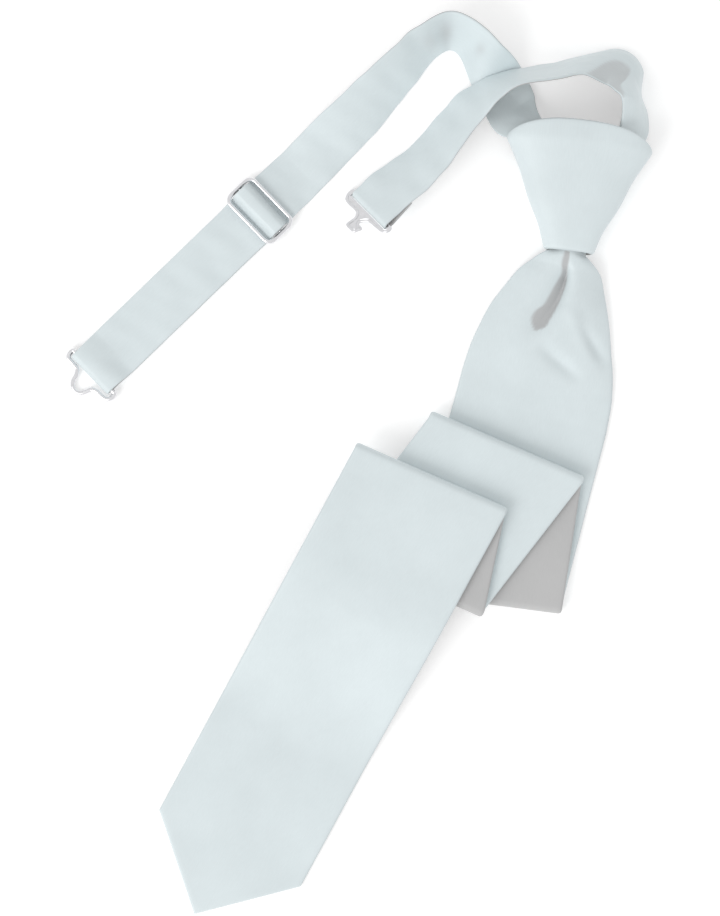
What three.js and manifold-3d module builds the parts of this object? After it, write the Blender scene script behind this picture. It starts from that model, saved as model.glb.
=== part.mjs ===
// Skinny pre-tied necktie with a clip neck strap, lying unfastened and folded on a table.
// Units are millimetres, +Z is up and the table is the plane z = 0.

import * as THREE from 'three';
import { mergeVertices } from 'three/addons/utils/BufferGeometryUtils.js';
import Module from 'manifold-3d';

// Blade
const BLADE_WIDTH = 63.5;
const BLADE_LENGTH = 503.7;
const BLADE_THICKNESS = 2.4;
const TIP_LENGTH = 29.5;
const THROAT_LENGTH = 65;
const FOLD_GAP = 0.9;
const BUNDLE_WIDTH = 13.6;
const BUNDLE_THICKNESS = 6.4;
const BUNDLE_REACH = 15;
const DIMPLE_DEPTH = 4.2;
const CROWN_HEIGHT = 5.5;
const FALL_LENGTH = 72;
const BUNDLE_TAPER = 0.72;
const THROAT_CROWDING = 1.3;

// Knot
const KNOT_HEIGHT = 42;
const KNOT_TOP_WIDTH = 57.3;
const KNOT_ARCH = 8;
const KNOT_MOUTH_DEPTH = 20;
const KNOT_FOOT_DEPTH = 12;
const KNOT_BACK_DROP = 15;
const KNOT_WALL = 2;
const KNOT_LEAN = 7;
const KNOT_FULLNESS = 0.8;
const KNOT_RIM_FULLNESS = 0.65;

// Neck straps
const BAND_WIDTH = 21.4;
const BAND_THICKNESS = 1.1;
const SLIDER_STRAP_LOOP = 147.8;
const SLIDER_STRAP_HEADING = 224;
const SLIDER_DISTANCE = 22;
const DOUBLED_LENGTH = 93.4;
const HOOK_STRAP_LOOP = 160;
const HOOK_STRAP_HEADING = 222;
const HOOK_STRAP_ROLL = -27;
const HOOK_STRAP_END = 8.2;
const HOOK_TAIL = 12;
const EASY_BEND = 4;

// Metal pieces
const WIRE_DIAMETER = 1.9;
const EYE_REACH = 9.2;
const EYE_BAND_WIDTH = BAND_WIDTH - 0.8;
const HOOK_WIDTH = BAND_WIDTH + 4.6;
const HOOK_REACH = 9.9;
const HOOK_PLATE = 1;
const HOOK_BAR = 1;
const HOOK_CORNER = 1.5;
const SLIDER_WIDTH = BAND_WIDTH + 5.1;
const SLIDER_LENGTH = 15.4;
const SLIDER_BAR = 2;
const SLIDER_HEIGHT = 1.8;
const SLIDER_MIDDLE_HEIGHT = 1;
const SLIDER_CORNER = 4;

const GAP = 0.35;

// Sections per piece
const BLADE_COLUMNS = 16;
const BAND_COLUMNS = 4;
const LOOP_STEPS = 6;
const BEND_STEPS = 5;
const THROAT_STEPS = 14;
const FIRST_RUN_STEPS = 4;
const RUN_STEPS = 2;
const LAST_RUN_STEPS = 10;
const SLIDER_ROUTE_STEPS = 48;
const HOOK_ROUTE_STEPS = 60;
const KNOT_ROUND = 28;
const KNOT_RISE = 9;
const EYE_STEPS = 60;
const EYE_SIDES = 7;

// Runs of the accordion-folded blade, from the knot to the tip.
// run: share of the blade's length; heading: degrees from +X;
// crease: slope in degrees of the fold line that ends the run.
const RUNS = [
  { run: 0.2799, heading: 256.0, crease: -7.5 },
  { run: 0.1219, heading: 80.7, crease: -23.4 },
  { run: 0.1302, heading: 233.1, crease: -24.0 },
  { run: 0.0820, heading: 76.7, crease: -23.6 },
  { run: 0.3860, heading: 241.6, crease: 0 },
];

// Sections of the throat where the blade spreads out of the knot.
// along: share of the throat's length; west, east: edges, shares of the blade's width;
// lift: height of the edges, crown: height of the middle above them, groove: depth of the dimple,
// each a share of its named size; at, spread: place and width of the dimple, shares of the half width;
// bulk: share of the way from a plain sheet to the gathered bundle.
const THROAT = [
  { along: 0, west: 0.107, east: 0.107, lift: 1, crown: 0, groove: 0.25, at: 0.02, spread: 0.22, bulk: 1 },
  { along: 0.03, west: 0.11, east: 0.11, lift: 0.97, crown: 0.02, groove: 0.3, at: 0.01, spread: 0.22, bulk: 0.94 },
  { along: 0.06, west: 0.18, east: 0.188, lift: 0.68, crown: 0.34, groove: 0.6, at: 0, spread: 0.2, bulk: 0.62 },
  { along: 0.1, west: 0.22, east: 0.226, lift: 0.4, crown: 0.62, groove: 0.85, at: 0.04, spread: 0.18, bulk: 0.4 },
  { along: 0.17, west: 0.273, east: 0.272, lift: 0.2, crown: 0.88, groove: 1, at: 0.08, spread: 0.18, bulk: 0.22 },
  { along: 0.28, west: 0.33, east: 0.32, lift: 0.08, crown: 1, groove: 1, at: 0.04, spread: 0.2, bulk: 0.1 },
  { along: 0.42, west: 0.392, east: 0.378, lift: 0, crown: 0.92, groove: 0.72, at: -0.08, spread: 0.21, bulk: 0.03 },
  { along: 0.55, west: 0.424, east: 0.422, lift: 0, crown: 0.7, groove: 0.25, at: -0.2, spread: 0.22, bulk: 0 },
  { along: 0.7, west: 0.45, east: 0.468, lift: 0, crown: 0.42, groove: 0.06, at: -0.25, spread: 0.26, bulk: 0 },
  { along: 0.85, west: 0.46, east: 0.496, lift: 0, crown: 0.16, groove: 0, at: -0.25, spread: 0.26, bulk: 0 },
  { along: 1, west: 0.462, east: 0.505, lift: 0, crown: 0, groove: 0, at: -0.25, spread: 0.26, bulk: 0 },
];

// Widths of the knot. up: share of the knot's height; half, shift: half the width there and its
// offset to the east, shares of half the top width.
const KNOT_SIDES = [
  { up: 0, half: 0.342, shift: 0 },
  { up: 0.2, half: 0.437, shift: -0.012 },
  { up: 0.45, half: 0.625, shift: -0.02 },
  { up: 0.7, half: 0.775, shift: -0.034 },
  { up: 0.9, half: 0.93, shift: -0.04 },
  { up: 1, half: 1, shift: -0.045 },
  { up: 1.2, half: 1, shift: -0.045 },
];

// Routes of the straps from inside the knot.
// x, y: shares of the strap's looped length; roll: slope across it in degrees, right edge up;
// curl: how much that slope turns from the left edge to the right, in degrees;
// lift: height of the lower edge, share of the band's width; width: gathered share of that width.
const SLIDER_ROUTE = [
  { x: -0.0643, y: 0.2300, roll: 4, curl: 0, lift: 0.390, width: 0.5 },
  { x: -0.0710, y: 0.2850, roll: 5, curl: 0, lift: 0.415, width: 0.5 },
  { x: -0.1120, y: 0.3300, roll: 4, curl: 0, lift: 0.350, width: 0.57 },
  { x: -0.1431, y: 0.3580, roll: 2, curl: 0, lift: 0.170, width: 0.87 },
  { x: -0.1554, y: 0.3988, roll: 0, curl: 0, lift: 0.050, width: 0.98 },
  { x: -0.1830, y: 0.4500, roll: 9, curl: 0, lift: 0.000, width: 1 },
  { x: -0.2188, y: 0.5006, roll: 40, curl: 0, lift: 0.000, width: 1 },
  { x: -0.2464, y: 0.5477, roll: 62, curl: 0, lift: 0.000, width: 1 },
  { x: -0.2805, y: 0.5778, roll: 68, curl: 0, lift: 0.000, width: 1 },
  { x: -0.3159, y: 0.5885, roll: 67, curl: 0, lift: 0.000, width: 1 },
  { x: -0.3525, y: 0.5743, roll: 65, curl: 0, lift: 0.000, width: 1 },
  { x: -0.3908, y: 0.5405, roll: 56, curl: 0, lift: 0.000, width: 1 },
  { x: -0.4270, y: 0.5024, roll: 51, curl: 0, lift: 0.000, width: 1 },
  { x: -0.4653, y: 0.4628, roll: 45, curl: 0, lift: 0.000, width: 1 },
  { x: -0.5080, y: 0.4186, roll: 37, curl: 0, lift: 0.000, width: 1 },
  { x: -0.5541, y: 0.3699, roll: 28, curl: 0, lift: 0.000, width: 0.99 },
  { x: -0.6082, y: 0.3191, roll: 19, curl: 0, lift: 0.000, width: 0.985 },
  { x: -0.6613, y: 0.2666, roll: 8, curl: 0, lift: 0.000, width: 0.975 },
  { x: -0.7132, y: 0.2151, roll: 0, curl: 0, lift: 0.000, width: 0.98 },
];
const HOOK_ROUTE = [
  { x: 0.1110, y: 0.1950, roll: -44, curl: 0, lift: 0.215, width: 0.46 },
  { x: 0.1340, y: 0.2450, roll: -44, curl: 0, lift: 0.190, width: 0.54 },
  { x: 0.1560, y: 0.2970, roll: -44, curl: -5, lift: 0.115, width: 0.84 },
  { x: 0.1637, y: 0.3376, roll: -60, curl: -20, lift: 0.030, width: 0.97 },
  { x: 0.1510, y: 0.3759, roll: -62, curl: -60, lift: 0.000, width: 1 },
  { x: 0.1394, y: 0.4050, roll: -46, curl: -85, lift: 0.000, width: 1 },
  { x: 0.1339, y: 0.4312, roll: -24, curl: -95, lift: 0.000, width: 1 },
  { x: 0.1187, y: 0.4483, roll: -22, curl: -95, lift: 0.000, width: 1 },
  { x: 0.0852, y: 0.4487, roll: -39, curl: -90, lift: 0.000, width: 1 },
  { x: 0.0451, y: 0.4513, roll: -57, curl: -55, lift: 0.000, width: 1 },
  { x: 0.0013, y: 0.4456, roll: -64, curl: -25, lift: 0.060, width: 1 },
  { x: -0.0441, y: 0.4326, roll: -64, curl: 0, lift: 0.150, width: 1 },
  { x: -0.0990, y: 0.4245, roll: -65, curl: 0, lift: 0.220, width: 1 },
  { x: -0.1515, y: 0.4110, roll: -63, curl: 0, lift: 0.235, width: 1 },
  { x: -0.1920, y: 0.3905, roll: -57, curl: 0, lift: 0.170, width: 1 },
  { x: -0.2282, y: 0.3669, roll: -49, curl: 0, lift: 0.090, width: 1 },
  { x: -0.2668, y: 0.3258, roll: -45, curl: 0, lift: 0.010, width: 1 },
  { x: -0.3043, y: 0.2795, roll: -42, curl: 0, lift: 0.000, width: 1 },
  { x: -0.3405, y: 0.2342, roll: -38, curl: 0, lift: 0.020, width: 1 },
  { x: -0.3840, y: 0.1916, roll: -32, curl: 0, lift: 0.070, width: 1 },
  { x: -0.4337, y: 0.1544, roll: -27, curl: 0, lift: 0.120, width: 1 },
  { x: -0.4561, y: 0.1343, roll: -26, curl: 0, lift: 0.139, width: 1 },
];

// Outline of the wire eye, pushed to one side in its fold.
// across: share of half its width; out: share of its reach.
const EYE_OUTLINE = [
  { across: 0.45, out: 'bar' },
  { across: 0.89, out: 'bar' },
  { across: 0.99, out: -0.3 },
  { across: 1.02, out: -0.1 },
  { across: 0.94, out: 0.12 },
  { across: 0.7, out: 0.165 },
  { across: 0.46, out: 0.2 },
  { across: 0.35, out: 0.39 },
  { across: 0.28, out: 0.7 },
  { across: 0.15, out: 0.92 },
  { across: -0.05, out: 1 },
  { across: -0.21, out: 0.88 },
  { across: -0.3, out: 0.66 },
  { across: -0.38, out: 0.39 },
  { across: -0.53, out: 0.28 },
  { across: -0.8, out: 0.27 },
  { across: -0.98, out: 0.19 },
  { across: -1.07, out: -0.05 },
  { across: -1.02, out: -0.29 },
  { across: -0.94, out: 'bar' },
  { across: -0.45, out: 'bar' },
];

// Outline of the stamped hook beyond its slot. across: share of half its width; out: share of its reach.
const HOOK_OUTLINE = [
  { across: 1, out: -0.08 },
  { across: 0.98, out: 0.12 },
  { across: 0.88, out: 0.29 },
  { across: 0.72, out: 0.34 },
  { across: 0.38, out: 0.33 },
  { across: 0.25, out: 0.38 },
  { across: 0.19, out: 0.52 },
  { across: 0.2, out: 0.7 },
  { across: 0.21, out: 0.93 },
  { across: 0.14, out: 1 },
  { across: -0.09, out: 1 },
  { across: -0.2, out: 0.94 },
  { across: -0.25, out: 0.81 },
  { across: -0.3, out: 0.66 },
  { across: -0.22, out: 0.59 },
  { across: -0.11, out: 0.61 },
  { across: -0.08, out: 0.53 },
  { across: -0.15, out: 0.4 },
  { across: -0.27, out: 0.26 },
  { across: -0.4, out: 0.24 },
  { across: -0.7, out: 0.21 },
  { across: -0.86, out: 0.16 },
  { across: -0.97, out: 0.04 },
  { across: -1, out: -0.08 },
];

const UP = new THREE.Vector3(0, 0, 1);
const wasm = await Module();
wasm.setup();

function direction(degrees) {
  const angle = THREE.MathUtils.degToRad(degrees);
  return new THREE.Vector3(Math.cos(angle), Math.sin(angle), 0);
}

function smoothStep(share) {
  return THREE.MathUtils.smoothstep(share, 0, 1);
}

// Value of a table's column at a place, by straight lines between its rows.
function tableValue(rows, key, place, column) {
  const next = rows.findIndex((row) => row[key] >= place);
  if (next <= 0) {
    return (next === 0 ? rows[0] : rows[rows.length - 1])[column];
  }
  const before = rows[next - 1];
  const after = rows[next];
  const share = (place - before[key]) / (after[key] - before[key]);
  return THREE.MathUtils.lerp(before[column], after[column], share);
}

// Closed body between two matching grids of points. A wrapped grid closes round its columns.
function bodyBetween(outer, inner, wrapped) {
  const rows = outer.length;
  const columns = outer[0].length;
  const positions = [];
  for (const grid of [outer, inner]) {
    for (const row of grid) {
      for (const point of row) {
        positions.push(point.x, point.y, point.z);
      }
    }
  }
  const triangles = [];
  const outside = (row, column) => row * columns + (column % columns);
  const inside = (row, column) => rows * columns + outside(row, column);
  const quad = (a, b, c, d) => triangles.push(a, b, c, a, c, d);
  const lastColumn = wrapped ? columns : columns - 1;
  for (let row = 0; row < rows - 1; row += 1) {
    for (let column = 0; column < lastColumn; column += 1) {
      const right = column + 1;
      const up = row + 1;
      quad(outside(row, column), outside(row, right), outside(up, right), outside(up, column));
      quad(inside(row, column), inside(up, column), inside(up, right), inside(row, right));
    }
  }
  for (let column = 0; column < lastColumn; column += 1) {
    const right = column + 1;
    const end = rows - 1;
    quad(outside(0, column), inside(0, column), inside(0, right), outside(0, right));
    quad(outside(end, column), outside(end, right), inside(end, right), inside(end, column));
  }
  if (!wrapped) {
    const end = columns - 1;
    for (let row = 0; row < rows - 1; row += 1) {
      const up = row + 1;
      quad(outside(row, 0), outside(up, 0), inside(up, 0), inside(row, 0));
      quad(outside(row, end), inside(row, end), inside(up, end), outside(up, end));
    }
  }
  const geometry = new THREE.BufferGeometry();
  geometry.setAttribute('position', new THREE.Float32BufferAttribute(positions, 3));
  geometry.setIndex(triangles);
  geometry.computeVertexNormals();
  return geometry;
}

// Cloth of a given thickness on both sides of a grid of middle points, left to right in each row.
function clothBody(middle, thicknessAt) {
  const outer = [];
  const inner = [];
  middle.forEach((row, i) => {
    const before = middle[Math.max(i - 1, 0)];
    const after = middle[Math.min(i + 1, middle.length - 1)];
    const tops = [];
    const bottoms = [];
    row.forEach((point, j) => {
      const along = after[j].clone().sub(before[j]);
      const across = row[Math.min(j + 1, row.length - 1)].clone().sub(row[Math.max(j - 1, 0)]);
      const normal = across.cross(along).normalize();
      const half = thicknessAt(i, j) / 2;
      tops.push(point.clone().addScaledVector(normal, half));
      bottoms.push(point.clone().addScaledVector(normal, -half));
    });
    outer.push(tops);
    inner.push(bottoms);
  });
  return bodyBetween(outer, inner, false);
}

// Blade: one sheet that spreads out of the knot and is folded in runs that lie on each other.
const LAYER_PITCH = BLADE_THICKNESS + FOLD_GAP;
const KNOT_CORE_Z = KNOT_FOOT_DEPTH / 2;

function throatRow(distance) {
  const share = Math.max(distance / THROAT_LENGTH, 0);
  const value = (column) => tableValue(THROAT, 'along', share, column);
  const bundled = distance <= 0;
  const west = bundled ? BUNDLE_WIDTH / 2 : value('west') * BLADE_WIDTH;
  const east = bundled ? BUNDLE_WIDTH / 2 : value('east') * BLADE_WIDTH;
  const travel = direction(RUNS[0].heading);
  const toEast = direction(RUNS[0].heading + 90);
  const rest = BLADE_THICKNESS / 2;
  const row = [];
  for (let j = 0; j <= BLADE_COLUMNS; j += 1) {
    const v = -1 + (2 * j) / BLADE_COLUMNS;
    const aside = THREE.MathUtils.lerp(-west, east, (v + 1) / 2);
    const dimple = Math.exp(-(((v - value('at')) / value('spread')) ** 2));
    const height = rest + value('lift') * (KNOT_CORE_Z - rest)
      + value('crown') * CROWN_HEIGHT * (1 - v * v)
      - value('groove') * DIMPLE_DEPTH * dimple * (bundled ? 0 : 1) * value('crown');
    row.push(travel.clone().multiplyScalar(distance).addScaledVector(toEast, aside).setZ(height));
  }
  return row;
}

function throatThickness(distance, column) {
  const share = Math.max(distance / THROAT_LENGTH, 0);
  const bulk = tableValue(THROAT, 'along', share, 'bulk');
  const v = -1 + (2 * column) / BLADE_COLUMNS;
  const bundle = BUNDLE_THICKNESS * (1 - BUNDLE_TAPER * v * v);
  return THREE.MathUtils.lerp(BLADE_THICKNESS, bundle, bulk);
}

// Middle points of the fold lines and the directions along them, from west to east.
function foldLines() {
  const lines = [];
  const middle = new THREE.Vector3();
  RUNS.forEach((entry, index) => {
    middle.addScaledVector(direction(entry.heading), entry.run * BLADE_LENGTH);
    const next = RUNS[index + 1];
    const line = direction(entry.crease);
    const slant = (heading) => Math.abs(direction(heading).cross(line).z);
    const meeting = next ? (slant(entry.heading) + slant(next.heading)) / 2 : 1;
    lines.push({ middle: middle.clone(), line, half: BLADE_WIDTH / 2 / meeting });
  });
  return lines;
}

function bladeGeometry() {
  const lines = foldLines();
  const middle = [];
  const thickness = [];
  const addRow = (row, thicknesses) => {
    middle.push(row);
    thickness.push(thicknesses);
  };
  const plain = new Array(BLADE_COLUMNS + 1).fill(BLADE_THICKNESS);
  const columns = [...plain.keys()];
  const outwardOf = (index) => {
    const outward = direction(RUNS[index].crease + 90);
    return outward.multiplyScalar(Math.sign(outward.dot(direction(RUNS[index].heading))));
  };
  const foldReach = LAYER_PITCH / 2;
  const linePoint = (index, v) => {
    const { middle: centre, line, half } = lines[index];
    return centre.clone().addScaledVector(line, v * half).addScaledVector(outwardOf(index), -foldReach);
  };
  const sideways = (j) => -1 + (2 * j) / BLADE_COLUMNS;

  addRow(throatRow(-BUNDLE_REACH), columns.map((j) => throatThickness(0, j)));
  for (let i = 0; i <= THROAT_STEPS; i += 1) {
    const distance = THROAT_LENGTH * (i / THROAT_STEPS) ** THROAT_CROWDING;
    addRow(throatRow(distance), columns.map((j) => throatThickness(distance, j)));
  }

  const addRun = (starts, ends, steps, heightAt) => {
    for (let i = 1; i <= steps; i += 1) {
      const row = columns.map((j) => starts[j].clone().lerp(ends[j], i / (steps + 1)));
      row.forEach((point) => point.setZ(heightAt(point)));
      addRow(row, plain);
    }
  };
  const addFold = (index) => {
    const level = BLADE_THICKNESS / 2 + index * LAYER_PITCH;
    const outward = outwardOf(index);
    for (let i = 0; i <= LOOP_STEPS; i += 1) {
      const turn = (Math.PI * i) / LOOP_STEPS;
      const reach = (LAYER_PITCH / 2) * Math.sin(turn);
      const height = level + (LAYER_PITCH / 2) * (1 - Math.cos(turn));
      const row = columns.map((j) => linePoint(index, sideways(j)).addScaledVector(outward, reach));
      addRow(row.map((point) => point.setZ(height)), plain);
    }
  };

  let starts = middle[middle.length - 1].map((point) => point.clone());
  const last = RUNS.length - 1;
  for (let index = 0; index < last; index += 1) {
    const level = BLADE_THICKNESS / 2 + index * LAYER_PITCH;
    const ends = columns.map((j) => linePoint(index, sideways(j)));
    addRun(starts, ends, index === 0 ? FIRST_RUN_STEPS : RUN_STEPS, () => level);
    addFold(index);
    starts = columns.map((j) => linePoint(index, sideways(j)));
  }

  // The last run stays on the stack past its lowest crease and then falls to the table.
  const travel = direction(RUNS[last].heading);
  const toWest = direction(RUNS[last].heading - 90);
  const top = BLADE_THICKNESS / 2 + last * LAYER_PITCH;
  const stackEnd = Math.max(...[0, 2].flatMap((index) => [-1, 1].map((v) => {
    const offset = linePoint(index, v).sub(lines[last - 1].middle);
    return Math.abs(offset.dot(toWest)) < BLADE_WIDTH / 2 + LAYER_PITCH ? offset.dot(travel) : 0;
  }))) + LAYER_PITCH;
  const heightAt = (point) => {
    const beyond = point.clone().sub(lines[last - 1].middle).dot(travel) - stackEnd;
    return THREE.MathUtils.lerp(top, BLADE_THICKNESS / 2, smoothStep(beyond / FALL_LENGTH));
  };
  const shoulder = lines[last].middle.clone().addScaledVector(travel, -TIP_LENGTH);
  const ends = columns.map((j) => {
    const v = sideways(j);
    return shoulder.clone().addScaledVector(travel, TIP_LENGTH * (1 - Math.abs(v)))
      .addScaledVector(toWest, (-v * BLADE_WIDTH) / 2);
  });
  addRun(starts, ends, LAST_RUN_STEPS, heightAt);
  addRow(ends.map((point) => point.setZ(heightAt(point))), plain);
  return clothBody(middle, (i, j) => thickness[i][j]);
}

// Knot: a hollow funnel of cloth lying on its back, open at the foot and at the mouth.
function knotPoint(angle, share, inset) {
  const side = Math.sin(angle) ** 2;
  const front = Math.sin(angle) > 0;
  const bulge = side ** KNOT_RIM_FULLNESS;
  const rim = KNOT_HEIGHT + (front ? KNOT_ARCH : -KNOT_BACK_DROP) * bulge;
  const up = share * rim;
  const column = (name) => tableValue(KNOT_SIDES, 'up', up / KNOT_HEIGHT, name) * KNOT_TOP_WIDTH / 2;
  const depth = THREE.MathUtils.lerp(KNOT_FOOT_DEPTH, KNOT_MOUTH_DEPTH, Math.min(up / KNOT_HEIGHT, 1));
  const power = (value) => Math.sign(value) * Math.abs(value) ** KNOT_FULLNESS;
  return new THREE.Vector3(
    column('shift') + (column('half') - inset) * power(Math.cos(angle)),
    up,
    depth / 2 + (depth / 2 - inset) * power(Math.sin(angle)),
  );
}

function knotGeometry() {
  const shell = (inset) => {
    const rows = [];
    for (let i = 0; i <= KNOT_RISE; i += 1) {
      const row = [];
      for (let j = 0; j < KNOT_ROUND; j += 1) {
        row.push(knotPoint((2 * Math.PI * j) / KNOT_ROUND, i / KNOT_RISE, inset));
      }
      rows.push(row);
    }
    return rows;
  };
  return bodyBetween(shell(KNOT_WALL), shell(0), true);
}

// Points across a strap, right and up of its middle, on an arc of the given slope and curl.
function bandSection(roll, curl, width) {
  const points = [];
  for (let j = 0; j <= BAND_COLUMNS; j += 1) {
    const share = 0.5 - j / BAND_COLUMNS;
    const slope = roll + curl * share;
    const flat = Math.abs(curl) < 1e-3;
    points.push(new THREE.Vector2(
      flat ? share * Math.cos(roll) : (Math.sin(slope) - Math.sin(roll)) / curl,
      flat ? share * Math.sin(roll) : (Math.cos(roll) - Math.cos(slope)) / curl,
    ).multiplyScalar(width));
  }
  const middle = (points[0].x + points[BAND_COLUMNS].x) / 2;
  const lowest = Math.min(...points.map((point) => point.y));
  return points.map((point) => point.sub(new THREE.Vector2(middle, lowest)));
}

// Rows of points across a strap along its route.
function routeRows(route, length, steps) {
  const path = new THREE.CatmullRomCurve3(
    route.map((row) => new THREE.Vector3(row.x, row.y, 0).multiplyScalar(length)),
    false,
    'catmullrom',
  );
  const columnCurve = (first, second) => new THREE.CatmullRomCurve3(
    route.map((row) => new THREE.Vector3(row[first], row[second], 0)),
    false,
    'catmullrom',
  );
  const slopes = columnCurve('roll', 'curl');
  const sizes = columnCurve('lift', 'width');
  const rows = [];
  for (let i = 0; i <= steps; i += 1) {
    const centre = path.getPoint(i / steps);
    const travel = path.getTangent(i / steps);
    const right = new THREE.Vector3(travel.y, -travel.x, 0);
    const slope = slopes.getPoint(i / steps).multiplyScalar(Math.PI / 180);
    const size = sizes.getPoint(i / steps).multiplyScalar(BAND_WIDTH);
    const base = Math.max(size.x, 0) + BAND_THICKNESS / 2;
    rows.push(bandSection(slope.x, slope.y, size.y).map((point) => (
      centre.clone().addScaledVector(right, point.x).setZ(base + point.y)
    )));
  }
  return rows;
}

// Frame at the end of a route: its middle, travel, direction across and upward normal.
function endFrame(rows, heading, roll) {
  const last = rows[rows.length - 1];
  const slope = THREE.MathUtils.degToRad(roll);
  const along = direction(heading);
  const across = direction(heading - 90).multiplyScalar(Math.cos(slope)).addScaledVector(UP, Math.sin(slope));
  return {
    origin: last[0].clone().add(last[BAND_COLUMNS]).multiplyScalar(0.5),
    along,
    across,
    normal: across.clone().cross(along),
  };
}

function framePoint(frame, along, height) {
  return frame.origin.clone().addScaledVector(frame.along, along).addScaledVector(frame.normal, height);
}

// Rows of points across a strap along a profile of places and heights in a frame.
function profileRows(frame, profile, widthAt) {
  return profile.map(([along, height]) => {
    const centre = framePoint(frame, along, height);
    const row = [];
    for (let j = 0; j <= BAND_COLUMNS; j += 1) {
      row.push(centre.clone().addScaledVector(frame.across, widthAt(along) * (0.5 - j / BAND_COLUMNS)));
    }
    return row;
  });
}

// Half circle from a lower or upper start round a centre.
function turnProfile(along, height, radius, firstAngle, lastAngle) {
  const points = [];
  for (let i = 0; i <= LOOP_STEPS; i += 1) {
    const angle = THREE.MathUtils.degToRad(THREE.MathUtils.lerp(firstAngle, lastAngle, i / LOOP_STEPS));
    points.push([along + radius * Math.cos(angle), height + radius * Math.sin(angle)]);
  }
  return points;
}

// Smooth rise or fall of a profile between two places.
function slopeProfile(from, to) {
  const points = [];
  for (let i = 0; i <= BEND_STEPS; i += 1) {
    const share = i / BEND_STEPS;
    points.push([
      THREE.MathUtils.lerp(from[0], to[0], share),
      THREE.MathUtils.lerp(from[1], to[1], smoothStep(share)),
    ]);
  }
  return points;
}

function strapGeometry(rows) {
  return clothBody(rows, () => BAND_THICKNESS);
}

// Heights of the middle of each layer where the long strap is doubled, above its lowest layer.
const BAND_PITCH = BAND_THICKNESS + GAP;
const SLIDER_FLOOR = 2 * BAND_THICKNESS + 2 * GAP;
const EYE_LOOP_RADIUS = (WIRE_DIAMETER + BAND_THICKNESS) / 2 + GAP;
const SLIDER_WRAP_RADIUS = (SLIDER_MIDDLE_HEIGHT + BAND_THICKNESS) / 2 + GAP;
const SLIDER_WRAP_Z = SLIDER_FLOOR + SLIDER_MIDDLE_HEIGHT / 2 - BAND_THICKNESS / 2;
const HOOK_LOOP_RADIUS = (Math.hypot(HOOK_PLATE, HOOK_BAR) + BAND_THICKNESS) / 2 + GAP;

function sliderStrap() {
  const rows = routeRows(SLIDER_ROUTE, SLIDER_STRAP_LOOP, SLIDER_ROUTE_STEPS);
  const frame = endFrame(rows, SLIDER_STRAP_HEADING, 0);
  const slider = SLIDER_DISTANCE;
  const inner = SLIDER_LENGTH / 2 - SLIDER_BAR;
  const outer = SLIDER_LENGTH / 2;
  const wrapTop = SLIDER_WRAP_Z + SLIDER_WRAP_RADIUS;
  const crest = wrapTop + BAND_PITCH;
  const crestHalf = SLIDER_BAR / 2 + GAP;
  const eyeCentre = slider + DOUBLED_LENGTH - EYE_LOOP_RADIUS - BAND_THICKNESS / 2;
  const eyeStart = eyeCentre - 3 * EASY_BEND;
  const under = slider + outer;
  const wrapStart = slider - SLIDER_BAR / 2 + GAP;
  const wrapLow = SLIDER_WRAP_Z - SLIDER_WRAP_RADIUS;
  const profile = [
    ...slopeProfile([EASY_BEND, 0], [slider - outer - BAND_THICKNESS, BAND_PITCH]),
    ...slopeProfile([slider - inner + GAP, BAND_PITCH], [slider - crestHalf, crest]),
    ...slopeProfile([slider + crestHalf, crest], [slider + inner - GAP, BAND_PITCH]),
    [under + BAND_THICKNESS, BAND_PITCH],
    [eyeStart - EASY_BEND, BAND_PITCH],
    ...slopeProfile([eyeStart, BAND_PITCH], [eyeCentre - BAND_THICKNESS, 2 * EYE_LOOP_RADIUS]),
    ...turnProfile(eyeCentre, EYE_LOOP_RADIUS, EYE_LOOP_RADIUS, 90, -90),
    [eyeCentre - EASY_BEND, 0],
    [under + EASY_BEND, 0],
    ...slopeProfile([under - BAND_THICKNESS, 0], [slider + inner - BAND_PITCH, wrapLow]),
    ...turnProfile(wrapStart, SLIDER_WRAP_Z, SLIDER_WRAP_RADIUS, 270, 90),
    [slider + crestHalf - GAP, wrapTop],
  ];
  const widthAt = (along) => THREE.MathUtils.lerp(
    BAND_WIDTH,
    EYE_BAND_WIDTH,
    smoothStep((along - eyeStart) / (eyeCentre - eyeStart)),
  );
  rows.push(...profileRows(frame, profile, widthAt));
  return { rows, frame, eyeCentre };
}

function hookStrap() {
  const rows = routeRows(HOOK_ROUTE, HOOK_STRAP_LOOP, HOOK_ROUTE_STEPS);
  const frame = endFrame(rows, HOOK_STRAP_HEADING, HOOK_STRAP_ROLL);
  const bar = HOOK_STRAP_END - HOOK_LOOP_RADIUS - BAND_THICKNESS / 2;
  const tailLow = -2 * HOOK_LOOP_RADIUS;
  const profile = [
    [bar / 2, 0],
    [bar - BAND_THICKNESS, 0],
    ...turnProfile(bar, -HOOK_LOOP_RADIUS, HOOK_LOOP_RADIUS, 90, -90),
    [bar - 2 * BAND_THICKNESS, tailLow],
    [bar - HOOK_TAIL, -BAND_PITCH],
  ];
  rows.push(...profileRows(frame, profile, () => BAND_WIDTH));
  return { rows, frame, bar };
}

// Mesh placed in a frame: x across, y out along the strap, z along the normal.
function placedMesh(name, geometry, material, frame, along, height) {
  const mesh = new THREE.Mesh(geometry, material);
  mesh.name = name;
  const acrossRight = frame.along.clone().cross(frame.normal);
  mesh.setRotationFromMatrix(new THREE.Matrix4().makeBasis(acrossRight, frame.along, frame.normal));
  mesh.position.copy(framePoint(frame, along, height));
  return mesh;
}

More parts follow.
